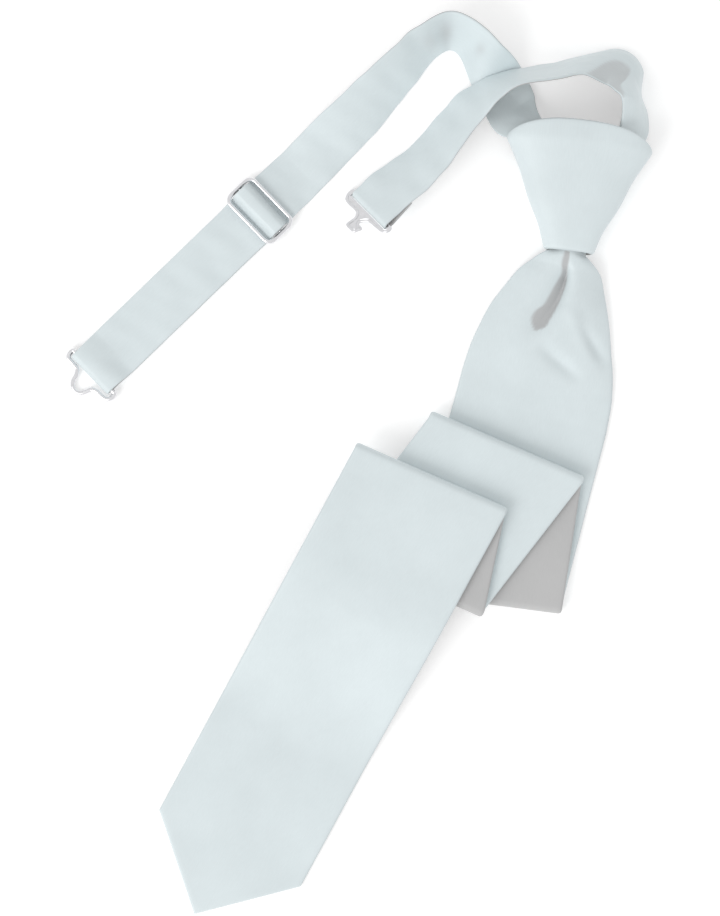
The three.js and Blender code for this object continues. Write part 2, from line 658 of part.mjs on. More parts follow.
// Eye: one closed ring of round wire, drawn in the plane x across, y out, with its bar at the origin.
function eyeGeometry() {
  const wire = WIRE_DIAMETER / 2;
  const half = EYE_BAND_WIDTH / 2 + GAP + wire;
  const fold = EYE_LOOP_RADIUS + BAND_THICKNESS / 2;
  const reach = EYE_REACH - wire;
  const sag = (EYE_LOOP_RADIUS + BAND_THICKNESS / 2 - wire) / (fold + reach);
  const corners = EYE_OUTLINE.map(({ across, out }) => {
    const y = out === 'bar' ? 0 : fold + out * reach;
    return new THREE.Vector3(across * half, y, -Math.max(y, 0) * sag);
  });
  const curve = new THREE.CatmullRomCurve3(corners, true, 'centripetal');
  const rings = [];
  for (let i = 0; i < EYE_STEPS; i += 1) {
    const centre = curve.getPoint(i / EYE_STEPS);
    const travel = curve.getTangent(i / EYE_STEPS);
    const aside = travel.clone().cross(UP).normalize();
    const over = aside.clone().cross(travel).normalize();
    const ring = [];
    for (let j = 0; j < EYE_SIDES; j += 1) {
      const angle = (2 * Math.PI * j) / EYE_SIDES;
      ring.push(centre.clone()
        .addScaledVector(aside, wire * Math.cos(angle))
        .addScaledVector(over, wire * Math.sin(angle)));
    }
    rings.push(ring);
  }
  const positions = rings.flat().flatMap((point) => point.toArray());
  const triangles = [];
  for (let i = 0; i < EYE_STEPS; i += 1) {
    for (let j = 0; j < EYE_SIDES; j += 1) {
      const next = ((i + 1) % EYE_STEPS) * EYE_SIDES;
      const right = (j + 1) % EYE_SIDES;
      const face = [i * EYE_SIDES + j, next + j, next + right, i * EYE_SIDES + right];
      triangles.push(face[0], face[1], face[2], face[0], face[2], face[3]);
    }
  }
  const geometry = new THREE.BufferGeometry();
  geometry.setAttribute('position', new THREE.Float32BufferAttribute(positions, 3));
  geometry.setIndex(triangles);
  geometry.computeVertexNormals();
  return geometry;
}

// Hook: a flat plate with a slot for the strap behind its outline, its bar at the origin.
function hookGeometry() {
  const half = HOOK_WIDTH / 2;
  const fold = HOOK_LOOP_RADIUS + BAND_THICKNESS / 2;
  const slotHalf = BAND_WIDTH / 2 + GAP;
  const slotStart = HOOK_BAR / 2;
  const back = -HOOK_BAR / 2;
  const outline = HOOK_OUTLINE.map(({ across, out }) => (
    new THREE.Vector2(across * half, fold + out * HOOK_REACH)
  ));
  const shape = new THREE.Shape();
  shape.moveTo(-half + HOOK_CORNER, back);
  shape.lineTo(half - HOOK_CORNER, back);
  shape.quadraticCurveTo(half, back, half, back + HOOK_CORNER);
  shape.lineTo(outline[0].x, outline[0].y);
  shape.splineThru(outline.slice(1));
  shape.lineTo(-half, back + HOOK_CORNER);
  shape.quadraticCurveTo(-half, back, -half + HOOK_CORNER, back);
  const slot = new THREE.Path();
  slot.moveTo(-slotHalf, slotStart);
  slot.lineTo(-slotHalf, fold + GAP);
  slot.lineTo(slotHalf, fold + GAP);
  slot.lineTo(slotHalf, slotStart);
  slot.closePath();
  shape.holes.push(slot);
  const geometry = new THREE.ExtrudeGeometry(shape, { depth: HOOK_PLATE, bevelEnabled: false, curveSegments: 3 });
  geometry.translate(0, 0, -HOOK_PLATE / 2);
  return welded(geometry);
}

function roundedOutline(path, halfWidth, halfLength, corner) {
  path.moveTo(-halfWidth + corner, -halfLength);
  path.lineTo(halfWidth - corner, -halfLength);
  path.absarc(halfWidth - corner, -halfLength + corner, corner, -Math.PI / 2, 0);
  path.lineTo(halfWidth, halfLength - corner);
  path.absarc(halfWidth - corner, halfLength - corner, corner, 0, Math.PI / 2);
  path.lineTo(-halfWidth + corner, halfLength);
  path.absarc(-halfWidth + corner, halfLength - corner, corner, Math.PI / 2, Math.PI);
  path.lineTo(-halfWidth, -halfLength + corner);
  path.absarc(-halfWidth + corner, -halfLength + corner, corner, Math.PI, 1.5 * Math.PI);
  return path;
}

function welded(geometry) {
  geometry.deleteAttribute('normal');
  geometry.deleteAttribute('uv');
  return mergeVertices(geometry, 1e-4);
}

function toManifold(geometry) {
  const merged = welded(geometry);
  return new wasm.Manifold(new wasm.Mesh({
    numProp: 3,
    vertProperties: new Float32Array(merged.attributes.position.array),
    triVerts: new Uint32Array(merged.index.array),
  }));
}

function fromManifold(solid) {
  const mesh = solid.getMesh();
  const geometry = new THREE.BufferGeometry();
  geometry.setAttribute('position', new THREE.BufferAttribute(mesh.vertProperties, 3));
  geometry.setIndex(new THREE.BufferAttribute(mesh.triVerts, 1));
  geometry.computeVertexNormals();
  return geometry;
}

// Slider: a rounded frame with a thinner middle bar, its lower side at the origin's height.
function sliderGeometry() {
  const halfWidth = SLIDER_WIDTH / 2;
  const halfLength = SLIDER_LENGTH / 2;
  const bevel = SLIDER_BAR / 4;
  const shape = roundedOutline(new THREE.Shape(), halfWidth - bevel, halfLength - bevel, SLIDER_CORNER - bevel);
  shape.holes.push(roundedOutline(
    new THREE.Path(),
    halfWidth - SLIDER_BAR + bevel,
    halfLength - SLIDER_BAR + bevel,
    SLIDER_CORNER - SLIDER_BAR + bevel,
  ));
  const frame = new THREE.ExtrudeGeometry(shape, {
    depth: SLIDER_HEIGHT - 2 * bevel,
    bevelThickness: bevel,
    bevelSize: bevel,
    bevelSegments: 1,
    curveSegments: 4,
  });
  frame.translate(0, 0, bevel);
  const bar = new THREE.BoxGeometry(SLIDER_WIDTH - SLIDER_BAR, SLIDER_BAR, SLIDER_MIDDLE_HEIGHT);
  bar.translate(0, 0, SLIDER_MIDDLE_HEIGHT / 2);
  return fromManifold(toManifold(frame).add(toManifold(bar)));
}

const satin = (color) => new THREE.MeshStandardMaterial({ color, roughness: 0.42, metalness: 0 });
const metal = (color, roughness) => new THREE.MeshStandardMaterial({ color, roughness, metalness: 1 });

function clothMesh(name, geometry) {
  const mesh = new THREE.Mesh(geometry, satin(0xd7e0e4));
  mesh.name = name;
  return mesh;
}

const tie = new THREE.Group();
const long = sliderStrap();
const short = hookStrap();

const knot = clothMesh('knot', knotGeometry());
knot.rotation.z = THREE.MathUtils.degToRad(-KNOT_LEAN);
tie.add(knot);
tie.add(clothMesh('blade', bladeGeometry()));
tie.add(clothMesh('hook_strap', strapGeometry(short.rows)));
tie.add(clothMesh('slider_strap', strapGeometry(long.rows)));
tie.add(placedMesh(
  'slider',
  sliderGeometry(),
  metal(0xe8e8ea, 0.2),
  long.frame,
  SLIDER_DISTANCE,
  SLIDER_FLOOR - BAND_THICKNESS / 2,
));
tie.add(placedMesh('eye_clip', eyeGeometry(), metal(0xe2e3e6, 0.15), long.frame, long.eyeCentre, EYE_LOOP_RADIUS));
tie.add(placedMesh('hook_clip', hookGeometry(), metal(0xe0e1e4, 0.25), short.frame, short.bar, -HOOK_LOOP_RADIUS));

// The origin is the middle of the base of the box round the whole tie.
const whole = new THREE.Group();
whole.add(tie);
tie.updateMatrixWorld(true);
const box = new THREE.Box3().setFromObject(tie, true);
tie.position.set(-(box.min.x + box.max.x) / 2, -(box.min.y + box.max.y) / 2, -box.min.z);

export default whole;
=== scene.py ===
"""Skinny pre-tied necktie with a clip neck strap, folded and lying unfastened on a table."""

import math

import bmesh
import bpy
import numpy as np
from mathutils import Matrix


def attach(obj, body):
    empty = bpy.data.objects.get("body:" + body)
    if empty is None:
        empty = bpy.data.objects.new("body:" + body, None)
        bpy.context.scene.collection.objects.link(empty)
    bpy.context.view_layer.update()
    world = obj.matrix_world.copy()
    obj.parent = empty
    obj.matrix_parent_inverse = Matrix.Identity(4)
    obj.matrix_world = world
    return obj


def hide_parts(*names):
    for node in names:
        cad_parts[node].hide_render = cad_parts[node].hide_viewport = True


bl_info = {
    "name": "Skinny Necktie",
    "version": (1, 0, 0),
    "blender": (4, 5, 0),
    "location": "View3D > Sidebar > Necktie",
    "description": "Builds the cloth and metal pieces of a folded skinny necktie",
    "category": "Object",
}

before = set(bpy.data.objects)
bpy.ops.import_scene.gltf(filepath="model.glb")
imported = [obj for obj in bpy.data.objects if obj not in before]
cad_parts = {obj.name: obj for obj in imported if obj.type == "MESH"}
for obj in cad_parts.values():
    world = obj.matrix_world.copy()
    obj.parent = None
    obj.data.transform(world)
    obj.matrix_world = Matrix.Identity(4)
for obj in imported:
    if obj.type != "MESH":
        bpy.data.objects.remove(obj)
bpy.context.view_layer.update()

# Place of the knot's foot on the table, in the row frame.
KNOT_FOOT = (0.08268, 0.08391, 0.0)
# Place of the knot's foot from the point below the camera.
CAMERA_ASIDE = (0.0818, 0.08075)

# Runs of the accordion-folded blade, from the knot to the tip.
# run: share of the blade's length; heading: degrees from +X; crease: slope of the fold that ends the run.
RUNS = [
    {"run": 0.2799, "heading": 256.0, "crease": -7.5},
    {"run": 0.1219, "heading": 80.7, "crease": -23.4},
    {"run": 0.1302, "heading": 233.1, "crease": -24.0},
    {"run": 0.0820, "heading": 76.7, "crease": -23.6},
    {"run": 0.3860, "heading": 241.6, "crease": 0},
]

# Sections of the throat where the blade spreads out of the knot.
# along: share of the throat's length; west, east: edges, shares of the blade's width;
# lift: height of the edges, crown: height of the middle above them, groove: depth of the dimple,
# each a share of its named size; at, spread: place and width of the dimple, shares of the half width;
# bulk: share of the way from a plain sheet to the gathered bundle.
THROAT = [
    {"along": 0.00, "west": 0.107, "east": 0.107, "lift": 1.00, "crown": 0.00, "groove": 0.0, "at": 0.02, "spread": 0.22, "bulk": 1.00},
    {"along": 0.015, "west": 0.128, "east": 0.134, "lift": 0.98, "crown": 0.01, "groove": 0.0, "at": 0.02, "spread": 0.22, "bulk": 0.97},
    {"along": 0.03, "west": 0.148, "east": 0.156, "lift": 0.93, "crown": 0.06, "groove": 0.2, "at": 0.01, "spread": 0.22, "bulk": 0.90},
    {"along": 0.06, "west": 0.182, "east": 0.200, "lift": 0.68, "crown": 0.34, "groove": 0.3, "at": 0.00, "spread": 0.20, "bulk": 0.62},
    {"along": 0.10, "west": 0.216, "east": 0.238, "lift": 0.40, "crown": 0.62, "groove": 0.8, "at": 0.05, "spread": 0.18, "bulk": 0.40},
    {"along": 0.17, "west": 0.273, "east": 0.272, "lift": 0.20, "crown": 0.88, "groove": 1.0, "at": 0.10, "spread": 0.20, "bulk": 0.22},
    {"along": 0.28, "west": 0.330, "east": 0.320, "lift": 0.08, "crown": 1.00, "groove": 1.0, "at": 0.06, "spread": 0.24, "bulk": 0.10},
    {"along": 0.42, "west": 0.392, "east": 0.378, "lift": 0.00, "crown": 0.92, "groove": 0.7, "at": -0.07, "spread": 0.24, "bulk": 0.03},
    {"along": 0.55, "west": 0.424, "east": 0.422, "lift": 0.00, "crown": 0.70, "groove": 0.2, "at": -0.22, "spread": 0.24, "bulk": 0.00},
    {"along": 0.70, "west": 0.450, "east": 0.468, "lift": 0.00, "crown": 0.42, "groove": 0.0, "at": -0.28, "spread": 0.26, "bulk": 0.00},
    {"along": 0.85, "west": 0.460, "east": 0.496, "lift": 0.00, "crown": 0.16, "groove": 0.0, "at": -0.28, "spread": 0.26, "bulk": 0.00},
    {"along": 1.00, "west": 0.462, "east": 0.505, "lift": 0.00, "crown": 0.00, "groove": 0.0, "at": -0.28, "spread": 0.26, "bulk": 0.00},
]

# Soft creases below the dimple. x0, y0, x1, y1: ends, shares of the blade's width from the knot's foot;
# depth: share of the dimple's depth, below zero for a ridge; width: share of the blade's width.
THROAT_CREASES = [
    {"x0": -0.19, "y0": -0.56, "x1": 0.09, "y1": -0.80, "depth": 0.30, "width": 0.045},
    {"x0": 0.04, "y0": -0.42, "x1": 0.25, "y1": -0.72, "depth": 0.30, "width": 0.045},
    {"x0": -0.01, "y0": -0.33, "x1": 0.17, "y1": -0.71, "depth": -0.22, "width": 0.040},
]

# Painted grey shade deep in the dimple. along: share of the throat's length; west, east: its sides, shares of the
# blade's width.
DIMPLE_SHADE = [
    {"along": 0.00, "west": -0.032, "east": 0.002},
    {"along": 0.11, "west": -0.032, "east": 0.024},
    {"along": 0.18, "west": -0.048, "east": 0.040},
    {"along": 0.28, "west": -0.072, "east": 0.028},
    {"along": 0.34, "west": -0.088, "east": 0.016},
    {"along": 0.39, "west": -0.126, "east": 0.003},
    {"along": 0.43, "west": -0.135, "east": -0.010},
    {"along": 0.47, "west": -0.123, "east": -0.024},
    {"along": 0.51, "west": -0.090, "east": -0.090},
]

# Soft spots of painted shade on the slider strap. along: share of its route; across: share of its width from the
# inner edge; long, wide: their half sizes in the same shares; shade: strength of the painted shade.
PAINTED_SHADE_SPOTS = [
    {"along": 0.520, "across": 0.45, "long": 0.034, "wide": 0.34, "shade": 0.55},
    {"along": 0.585, "across": 0.50, "long": 0.022, "wide": 0.30, "shade": 0.30},
    {"along": 0.370, "across": 0.55, "long": 0.014, "wide": 0.16, "shade": 0.35},
]

# Painted shade on the inner face of the hook strap where it turns. along: share of its route; reach: share of its
# width from the inner edge.
PAINTED_INNER_SHADE = [
    {"along": 0.186, "reach": 0.00},
    {"along": 0.238, "reach": 0.15},
    {"along": 0.267, "reach": 0.42},
    {"along": 0.300, "reach": 0.60},
    {"along": 0.333, "reach": 0.58},
    {"along": 0.381, "reach": 0.42},
    {"along": 0.419, "reach": 0.15},
    {"along": 0.443, "reach": 0.00},
]

# Widths of the knot. up: share of the knot's height; half, shift: half the width there and its
# offset to the east, shares of half the top width.
KNOT_SIDES = [
    {"up": 0.00, "half": 0.342, "shift": 0.000},
    {"up": 0.20, "half": 0.437, "shift": -0.012},
    {"up": 0.45, "half": 0.625, "shift": -0.020},
    {"up": 0.70, "half": 0.775, "shift": -0.034},
    {"up": 0.90, "half": 0.930, "shift": -0.040},
    {"up": 1.00, "half": 1.000, "shift": -0.045},
    {"up": 1.20, "half": 1.000, "shift": -0.045},
]

# Routes of the straps from inside the knot: x, y in shares of the looped length, roll and curl in
# degrees, lift of the lower edge and gathered width in shares of the band's width.
ROUTE_COLUMNS = ("x", "y", "roll", "curl", "lift", "width")
SLIDER_ROUTE = [
    (-0.0643, 0.2300, 4, 0, 0.390, 0.500),
    (-0.0710, 0.2850, 5, 0, 0.415, 0.500),
    (-0.1120, 0.3300, 4, 0, 0.350, 0.570),
    (-0.1431, 0.3580, 2, 0, 0.170, 0.870),
    (-0.1554, 0.3988, 0, 0, 0.050, 0.980),
    (-0.1830, 0.4500, 9, 0, 0.000, 1.000),
    (-0.2188, 0.5006, 40, 0, 0.000, 1.000),
    (-0.2464, 0.5477, 62, 0, 0.000, 1.000),
    (-0.2805, 0.5778, 68, 0, 0.000, 1.000),
    (-0.3159, 0.5885, 67, 0, 0.000, 1.000),
    (-0.3525, 0.5743, 65, 0, 0.000, 1.000),
    (-0.3908, 0.5405, 56, 0, 0.000, 1.000),
    (-0.4270, 0.5024, 51, 0, 0.000, 1.000),
    (-0.4653, 0.4628, 45, 0, 0.000, 1.000),
    (-0.5080, 0.4186, 37, 0, 0.000, 1.000),
    (-0.5541, 0.3699, 28, 0, 0.000, 0.990),
    (-0.6082, 0.3191, 19, 0, 0.000, 0.985),
    (-0.6613, 0.2666, 8, 0, 0.000, 0.975),
    (-0.7132, 0.2151, 0, 0, 0.000, 0.980),
]
HOOK_ROUTE = [
    (0.1110, 0.1950, -44, 0, 0.215, 0.460),
    (0.1340, 0.2450, -44, 0, 0.190, 0.540),
    (0.1560, 0.2970, -44, -5, 0.115, 0.840),
    (0.1637, 0.3376, -60, -20, 0.030, 0.970),
    (0.1510, 0.3759, -62, -60, 0.000, 1.000),
    (0.1394, 0.4050, -46, -85, 0.000, 1.000),
    (0.1339, 0.4312, -24, -95, 0.000, 1.000),
    (0.1187, 0.4483, -22, -95, 0.000, 1.000),
    (0.0852, 0.4487, -39, -90, 0.000, 1.000),
    (0.0451, 0.4513, -57, -55, 0.000, 1.000),
    (0.0013, 0.4456, -64, -25, 0.060, 1.000),
    (-0.0441, 0.4326, -64, 0, 0.150, 1.000),
    (-0.0990, 0.4245, -65, 0, 0.220, 1.000),
    (-0.1515, 0.4110, -63, 0, 0.235, 1.000),
    (-0.1920, 0.3905, -57, 0, 0.170, 1.000),
    (-0.2282, 0.3669, -49, 0, 0.090, 1.000),
    (-0.2668, 0.3258, -45, 0, 0.010, 1.000),
    (-0.3043, 0.2795, -42, 0, 0.000, 1.000),
    (-0.3405, 0.2342, -38, 0, 0.020, 1.000),
    (-0.3840, 0.1916, -32, 0, 0.070, 1.000),
    (-0.4337, 0.1544, -27, 0, 0.120, 1.000),
    (-0.4561, 0.1343, -26, 0, 0.139, 1.000),
]

# Outline of the wire eye: share of half its width, share of its reach or its straight bar.
BAR = None
EYE_OUTLINE = [
    (0.45, BAR), (0.89, BAR), (0.99, -0.3), (1.02, -0.1), (0.94, 0.12), (0.7, 0.165), (0.46, 0.2),
    (0.35, 0.39), (0.28, 0.7), (0.15, 0.92), (-0.05, 1), (-0.21, 0.88), (-0.3, 0.66), (-0.38, 0.39),
    (-0.53, 0.28), (-0.8, 0.27), (-0.98, 0.19), (-1.07, -0.05), (-1.02, -0.29), (-0.94, BAR), (-0.45, BAR),
]

# Outline of the stamped hook beyond its slot: share of half its width, share of its reach.
HOOK_OUTLINE = [
    (1, -0.08), (0.98, 0.12), (0.88, 0.29), (0.72, 0.34), (0.38, 0.33), (0.25, 0.38),
    (0.19, 0.52), (0.2, 0.7), (0.21, 0.93), (0.14, 1), (-0.09, 1), (-0.2, 0.94),
    (-0.25, 0.81), (-0.3, 0.66), (-0.22, 0.59), (-0.11, 0.61), (-0.08, 0.53), (-0.15, 0.4),
    (-0.27, 0.26), (-0.4, 0.24), (-0.7, 0.21), (-0.86, 0.16), (-0.97, 0.04), (-1, -0.08),
]

THROAT_LENGTH = 0.065
BUNDLE_WIDTH = 0.0136
BUNDLE_THICKNESS = 0.0064
BUNDLE_REACH = 0.015
FOLD_GAP = 0.0009
FALL_LENGTH = 0.072
TIP_LENGTH = 0.0295
KNOT_ARCH = 0.008
KNOT_MOUTH_DEPTH = 0.020
KNOT_FOOT_DEPTH = 0.012
KNOT_BACK_DROP = 0.015
KNOT_LEAN = 7
SLIDER_STRAP_LOOP = 0.1478
SLIDER_STRAP_HEADING = 224
SLIDER_DISTANCE = 0.022
DOUBLED_LENGTH = 0.0934
HOOK_STRAP_LOOP = 0.160
HOOK_STRAP_HEADING = 222
HOOK_STRAP_ROLL = -27
HOOK_STRAP_END = 0.0082
HOOK_TAIL = 0.012
HOOK_BAR = 0.001
EASY_BEND = 0.004
EYE_INSET = 0.0008
SLIDER_SPREAD = 0.0006
HOOK_ROUTE_STEPS = 190
SLIDER_ROUTE_STEPS = 150
GAP = 0.00035

CLOTH_UV = "cloth"
UNDERSIDE = "underside"
# Attribute that marks rounded edges and steep sides, which the materials darken as painted shade.
EDGE = "edge"
# Attribute that carries painted shade, from 0 to 1.
SHADE = "shade"


def length_setting(name, description, default):
    """A size in metres that the panel shows."""
    return bpy.props.FloatProperty(
        name=name, description=description, default=default, min=0.0001, precision=4, unit="LENGTH"
    )


def colour_setting(name, description, default):
    """A surface colour that the panel shows."""
    return bpy.props.FloatVectorProperty(
        name=name, description=description, default=default, size=3, min=0.0, max=1.0, subtype="COLOR"
    )


def share_setting(name, description, default, most=1.0):
    """A plain share that the panel shows."""
    return bpy.props.FloatProperty(
        name=name, description=description, default=default, min=0.0, max=most, subtype="FACTOR"
    )


class NecktieClothSettings(bpy.types.PropertyGroup):
    """Sizes and colours of the satin pieces."""

    blade_width: length_setting("Blade width", "Width of the blade's cloth", 0.0635)
    blade_length: length_setting("Blade length", "Blade from the knot to its point", 0.5037)
    blade_thickness: length_setting("Blade thickness", "Thickness of the folded blade cloth", 0.0024)
    crown_height: length_setting("Crown height", "Rise of the blade below the knot", 0.0055)
    dimple_depth: length_setting("Dimple depth", "Depth of the dimple below the knot", 0.0052)
    knot_height: length_setting("Knot height", "Knot from its foot to its mouth", 0.042)
    knot_top_width: length_setting("Knot top width", "Width of the knot's mouth", 0.0573)
    knot_wall: length_setting("Knot wall", "Thickness of the knot's cloth", 0.002)
    band_width: length_setting("Strap width", "Width of the neck straps", 0.0214)
    band_thickness: length_setting("Strap thickness", "Thickness of the neck straps", 0.0011)
    blade_ripple: length_setting("Blade ripple", "Height of the blade's soft waves", 0.0002)
    strap_ripple: length_setting("Strap ripple", "Height of the straps' soft waves", 0.00022)
    front: colour_setting("Front colour", "Colour of the satin's face", (0.695, 0.767, 0.785))
    back: colour_setting("Back colour", "Colour of the satin's back", (0.51, 0.51, 0.51))
    # Painted shade: the grey that the cloth is mixed towards deep in folds.
    painted_shade: colour_setting("Shaded colour", "Colour of the cloth deep in a fold", (0.50, 0.51, 0.515))
    roughness: share_setting("Satin roughness", "Roughness of the satin's face", 0.46)
    weave_pitch: length_setting("Weave pitch", "Distance between the satin's threads", 0.0004)


class NecktieMetalSettings(bpy.types.PropertyGroup):
    """Sizes and finish of the slider, the eye and the hook."""

    wire_diameter: length_setting("Wire diameter", "Thickness of the eye's wire", 0.0019)
    eye_reach: length_setting("Eye reach", "Eye beyond the strap's fold", 0.0092)
    hook_width: length_setting("Hook width", "Width of the hook across the strap", 0.026)
    hook_reach: length_setting("Hook reach", "Hook beyond the strap's fold", 0.0099)
    hook_plate: length_setting("Hook plate", "Thickness of the hook's plate", 0.001)
    slider_width: length_setting("Slider width", "Width of the slider across the strap", 0.0265)
    slider_length: length_setting("Slider length", "Length of the slider along the strap", 0.0154)
    slider_bar: length_setting("Slider bar", "Width of the slider's bars", 0.002)
    slider_height: length_setting("Slider height", "Height of the slider's frame", 0.0018)
    slider_corner: length_setting("Slider corner", "Outer corner radius of the slider", 0.004)
    colour: colour_setting("Metal colour", "Colour of the polished metal", (0.88, 0.88, 0.9))
    roughness: share_setting("Metal roughness", "Roughness of the polished metal", 0.2)


class NecktieStageSettings(bpy.types.PropertyGroup):
    """Floor, light and camera."""

    floor: colour_setting("Floor colour", "Colour of the table top", (0.86, 0.86, 0.86))
    camera_height: length_setting("Camera height", "Camera above the table", 0.8)
    view_height: length_setting("View height", "Length of table that the view shows", 0.3618)
    window_power: bpy.props.FloatProperty(
        name="Window power", description="Power of the large soft light", default=32.0, min=0.0, unit="POWER"
    )
    floor_glow: share_setting("Floor glow", "Light that comes up through the table top", 0.28)
    sky_strength: share_setting("Sky strength", "Brightness of the even light all round", 0.78, 2.0)


def direction(degrees):
    """Level direction at an angle from +X."""
    angle = math.radians(degrees)
    return np.array([math.cos(angle), math.sin(angle), 0.0])


def smooth_step(share):
    """Smooth rise from 0 to 1."""
    share = np.clip(share, 0.0, 1.0)
    return share * share * (3 - 2 * share)


def table_value(rows, key, place, column):
    """Value of a table's column at a place, along a smooth line through its rows."""
    x = np.array([row[key] for row in rows], float)
    y = np.array([row[column] for row in rows], float)
    slope = np.diff(y) / np.diff(x)
    inner = np.where(slope[1:] * slope[:-1] > 0, 2 / (1 / np.where(slope[1:], slope[1:], 1)
                     + 1 / np.where(slope[:-1], slope[:-1], 1)), 0)
    tangent = np.concatenate([slope[:1], inner, slope[-1:]])
    place = np.clip(place, x[0], x[-1])
    i = np.clip(np.searchsorted(x, place, side="right") - 1, 0, len(x) - 2)
    step = x[i + 1] - x[i]
    t = (place - x[i]) / step
    return (
        y[i] * (1 + 2 * t) * (1 - t) ** 2
        + y[i + 1] * t * t * (3 - 2 * t)
        + step * tangent[i] * t * (1 - t) ** 2
        + step * tangent[i + 1] * t * t * (t - 1)
    )


def curve_through(points, shares, centripetal=False, closed=False):
    """Points and tangents at shares of a smooth curve through the given points."""
    points = np.asarray(points, float)
    count = len(points)
    if closed:
        padded = np.vstack([points[-1:], points, points[:2]])
        last = count
    else:
        padded = np.vstack([2 * points[0] - points[1], points, 2 * points[-1] - points[-2]])
        last = count - 1
    place = np.clip(np.asarray(shares, float), 0, 1) * last
    i = np.minimum(place.astype(int), last - 1)
    t = (place - i)[:, None]
    p0, p1, p2, p3 = (padded[i + k] for k in range(4))
    if centripetal:
        d0, d1, d2 = (
            np.maximum(np.linalg.norm(b - a, axis=1), 1e-9)[:, None] ** 0.5
            for a, b in ((p0, p1), (p1, p2), (p2, p3))
        )
        m1 = ((p1 - p0) / d0 - (p2 - p0) / (d0 + d1) + (p2 - p1) / d1) * d1
        m2 = ((p2 - p1) / d1 - (p3 - p1) / (d1 + d2) + (p3 - p2) / d2) * d1
    else:
        m1, m2 = (p2 - p0) / 2, (p3 - p1) / 2
    a = 2 * p1 - 2 * p2 + m1 + m2
    b = -3 * p1 + 3 * p2 - 2 * m1 - m2
    return a * t**3 + b * t**2 + m1 * t + p1, 3 * a * t**2 + 2 * b * t + m1


def unit(vectors):
    """Vectors of length one."""
    return vectors / np.maximum(np.linalg.norm(vectors, axis=-1, keepdims=True), 1e-12)


def grid_normals(rows):
    """Upward normals of a grid of middle points."""
    along = np.gradient(rows, axis=0)
    across = np.gradient(rows, axis=1)
    return unit(np.cross(across, along))


def ripple(points, seed, height, shortest, longest, heading, spread):
    """Soft waves over the cloth that run mostly along a heading."""
    chance = np.random.default_rng(seed)
    total = np.zeros(points.shape[:-1])
    for _ in range(8):
        angle = math.radians(heading + chance.uniform(-spread, spread))
        size = chance.uniform(shortest, longest)
        place = points[..., 0] * math.cos(angle) + points[..., 1] * math.sin(angle)
        total += chance.uniform(0.4, 1.0) * np.sin(2 * math.pi * place / size + chance.uniform(0, 6.3))
    return total * height / 2


def creased(points, creases, size, depth):
    """Depth of soft straight creases under points of the cloth."""
    total = np.zeros(points.shape[:-1])
    for row in creases:
        start = np.array([row["x0"], row["y0"]]) * size
        run = np.array([row["x1"], row["y1"]]) * size - start
        offset = points[..., :2] - start
        share = (offset @ run) / (run @ run)
        away = np.abs(offset[..., 0] * run[1] - offset[..., 1] * run[0]) / np.linalg.norm(run)
        fade = np.sin(math.pi * np.clip(share, 0, 1)) ** 0.8
        total += row["depth"] * depth * fade * np.exp(-((away / (row["width"] * size)) ** 2))
    return total


def ripple_rows(rows, waves):
    """Rows moved along their normals by waves, with none on the sides of a fold."""
    normals = grid_normals(rows)
    facing = np.clip(2 * normals[..., 2:3], -1, 1)
    return rows + normals * facing * waves[..., None]


def drawn_apart(rows, rounds=320):
    """Rows whose points on the inside of a tight bend are drawn apart, so that none cross."""
    rows = np.array(rows)
    centre = rows.mean(axis=1)
    travel = unit(np.gradient(centre, axis=0))
    pitch = np.linalg.norm(np.gradient(centre, axis=0), axis=1)[:, None]
    for _ in range(rounds):
        step = np.einsum("ijk,ik->ij", np.gradient(rows, axis=0), travel)
        tight = np.clip(2 - step / (0.42 * pitch), 0, 1)
        tight = np.maximum.reduce([tight[1:-1], tight[:-2], tight[2:]])[..., None]
        rows[1:-1] += (rows[:-2] / 2 + rows[2:] / 2 - rows[1:-1]) * tight * 0.7
    return rows


def rounded_ends(rows, thickness, steps=3):
    """Rows with half-round ends beyond the first and last row."""
    first, last = unit(rows[0] - rows[1]), unit(rows[-1] - rows[-2])
    before, after = [], []
    for i in range(1, steps + 1):
        angle = math.pi / 2 * i / steps * 0.96
        reach, left = math.sin(angle), math.cos(angle)
        before.insert(0, (rows[0] + first * thickness[0][:, None] / 2 * reach, thickness[0] * left))
        after.append((rows[-1] + last * thickness[-1][:, None] / 2 * reach, thickness[-1] * left))
    ends = [np.array([row for row, _ in part]) for part in (before, after)]
    walls = [np.array([wall for _, wall in part]) for part in (before, after)]
    return np.vstack([ends[0], rows, ends[1]]), np.vstack([walls[0], thickness, walls[1]])


def inset_rows(rows, thickness):
    """Rows whose outer points stand half a thickness inside the cloth's edges."""
    made = []
    for row, wall in zip(rows, thickness):
        reach = np.concatenate([[0], np.cumsum(np.linalg.norm(np.diff(row, axis=0), axis=1))])
        places = np.linspace(wall[0] / 2, reach[-1] - wall[-1] / 2, len(row))
        made.append(np.stack([np.interp(places, reach, row[:, k]) for k in range(3)], axis=1))
    return np.array(made)


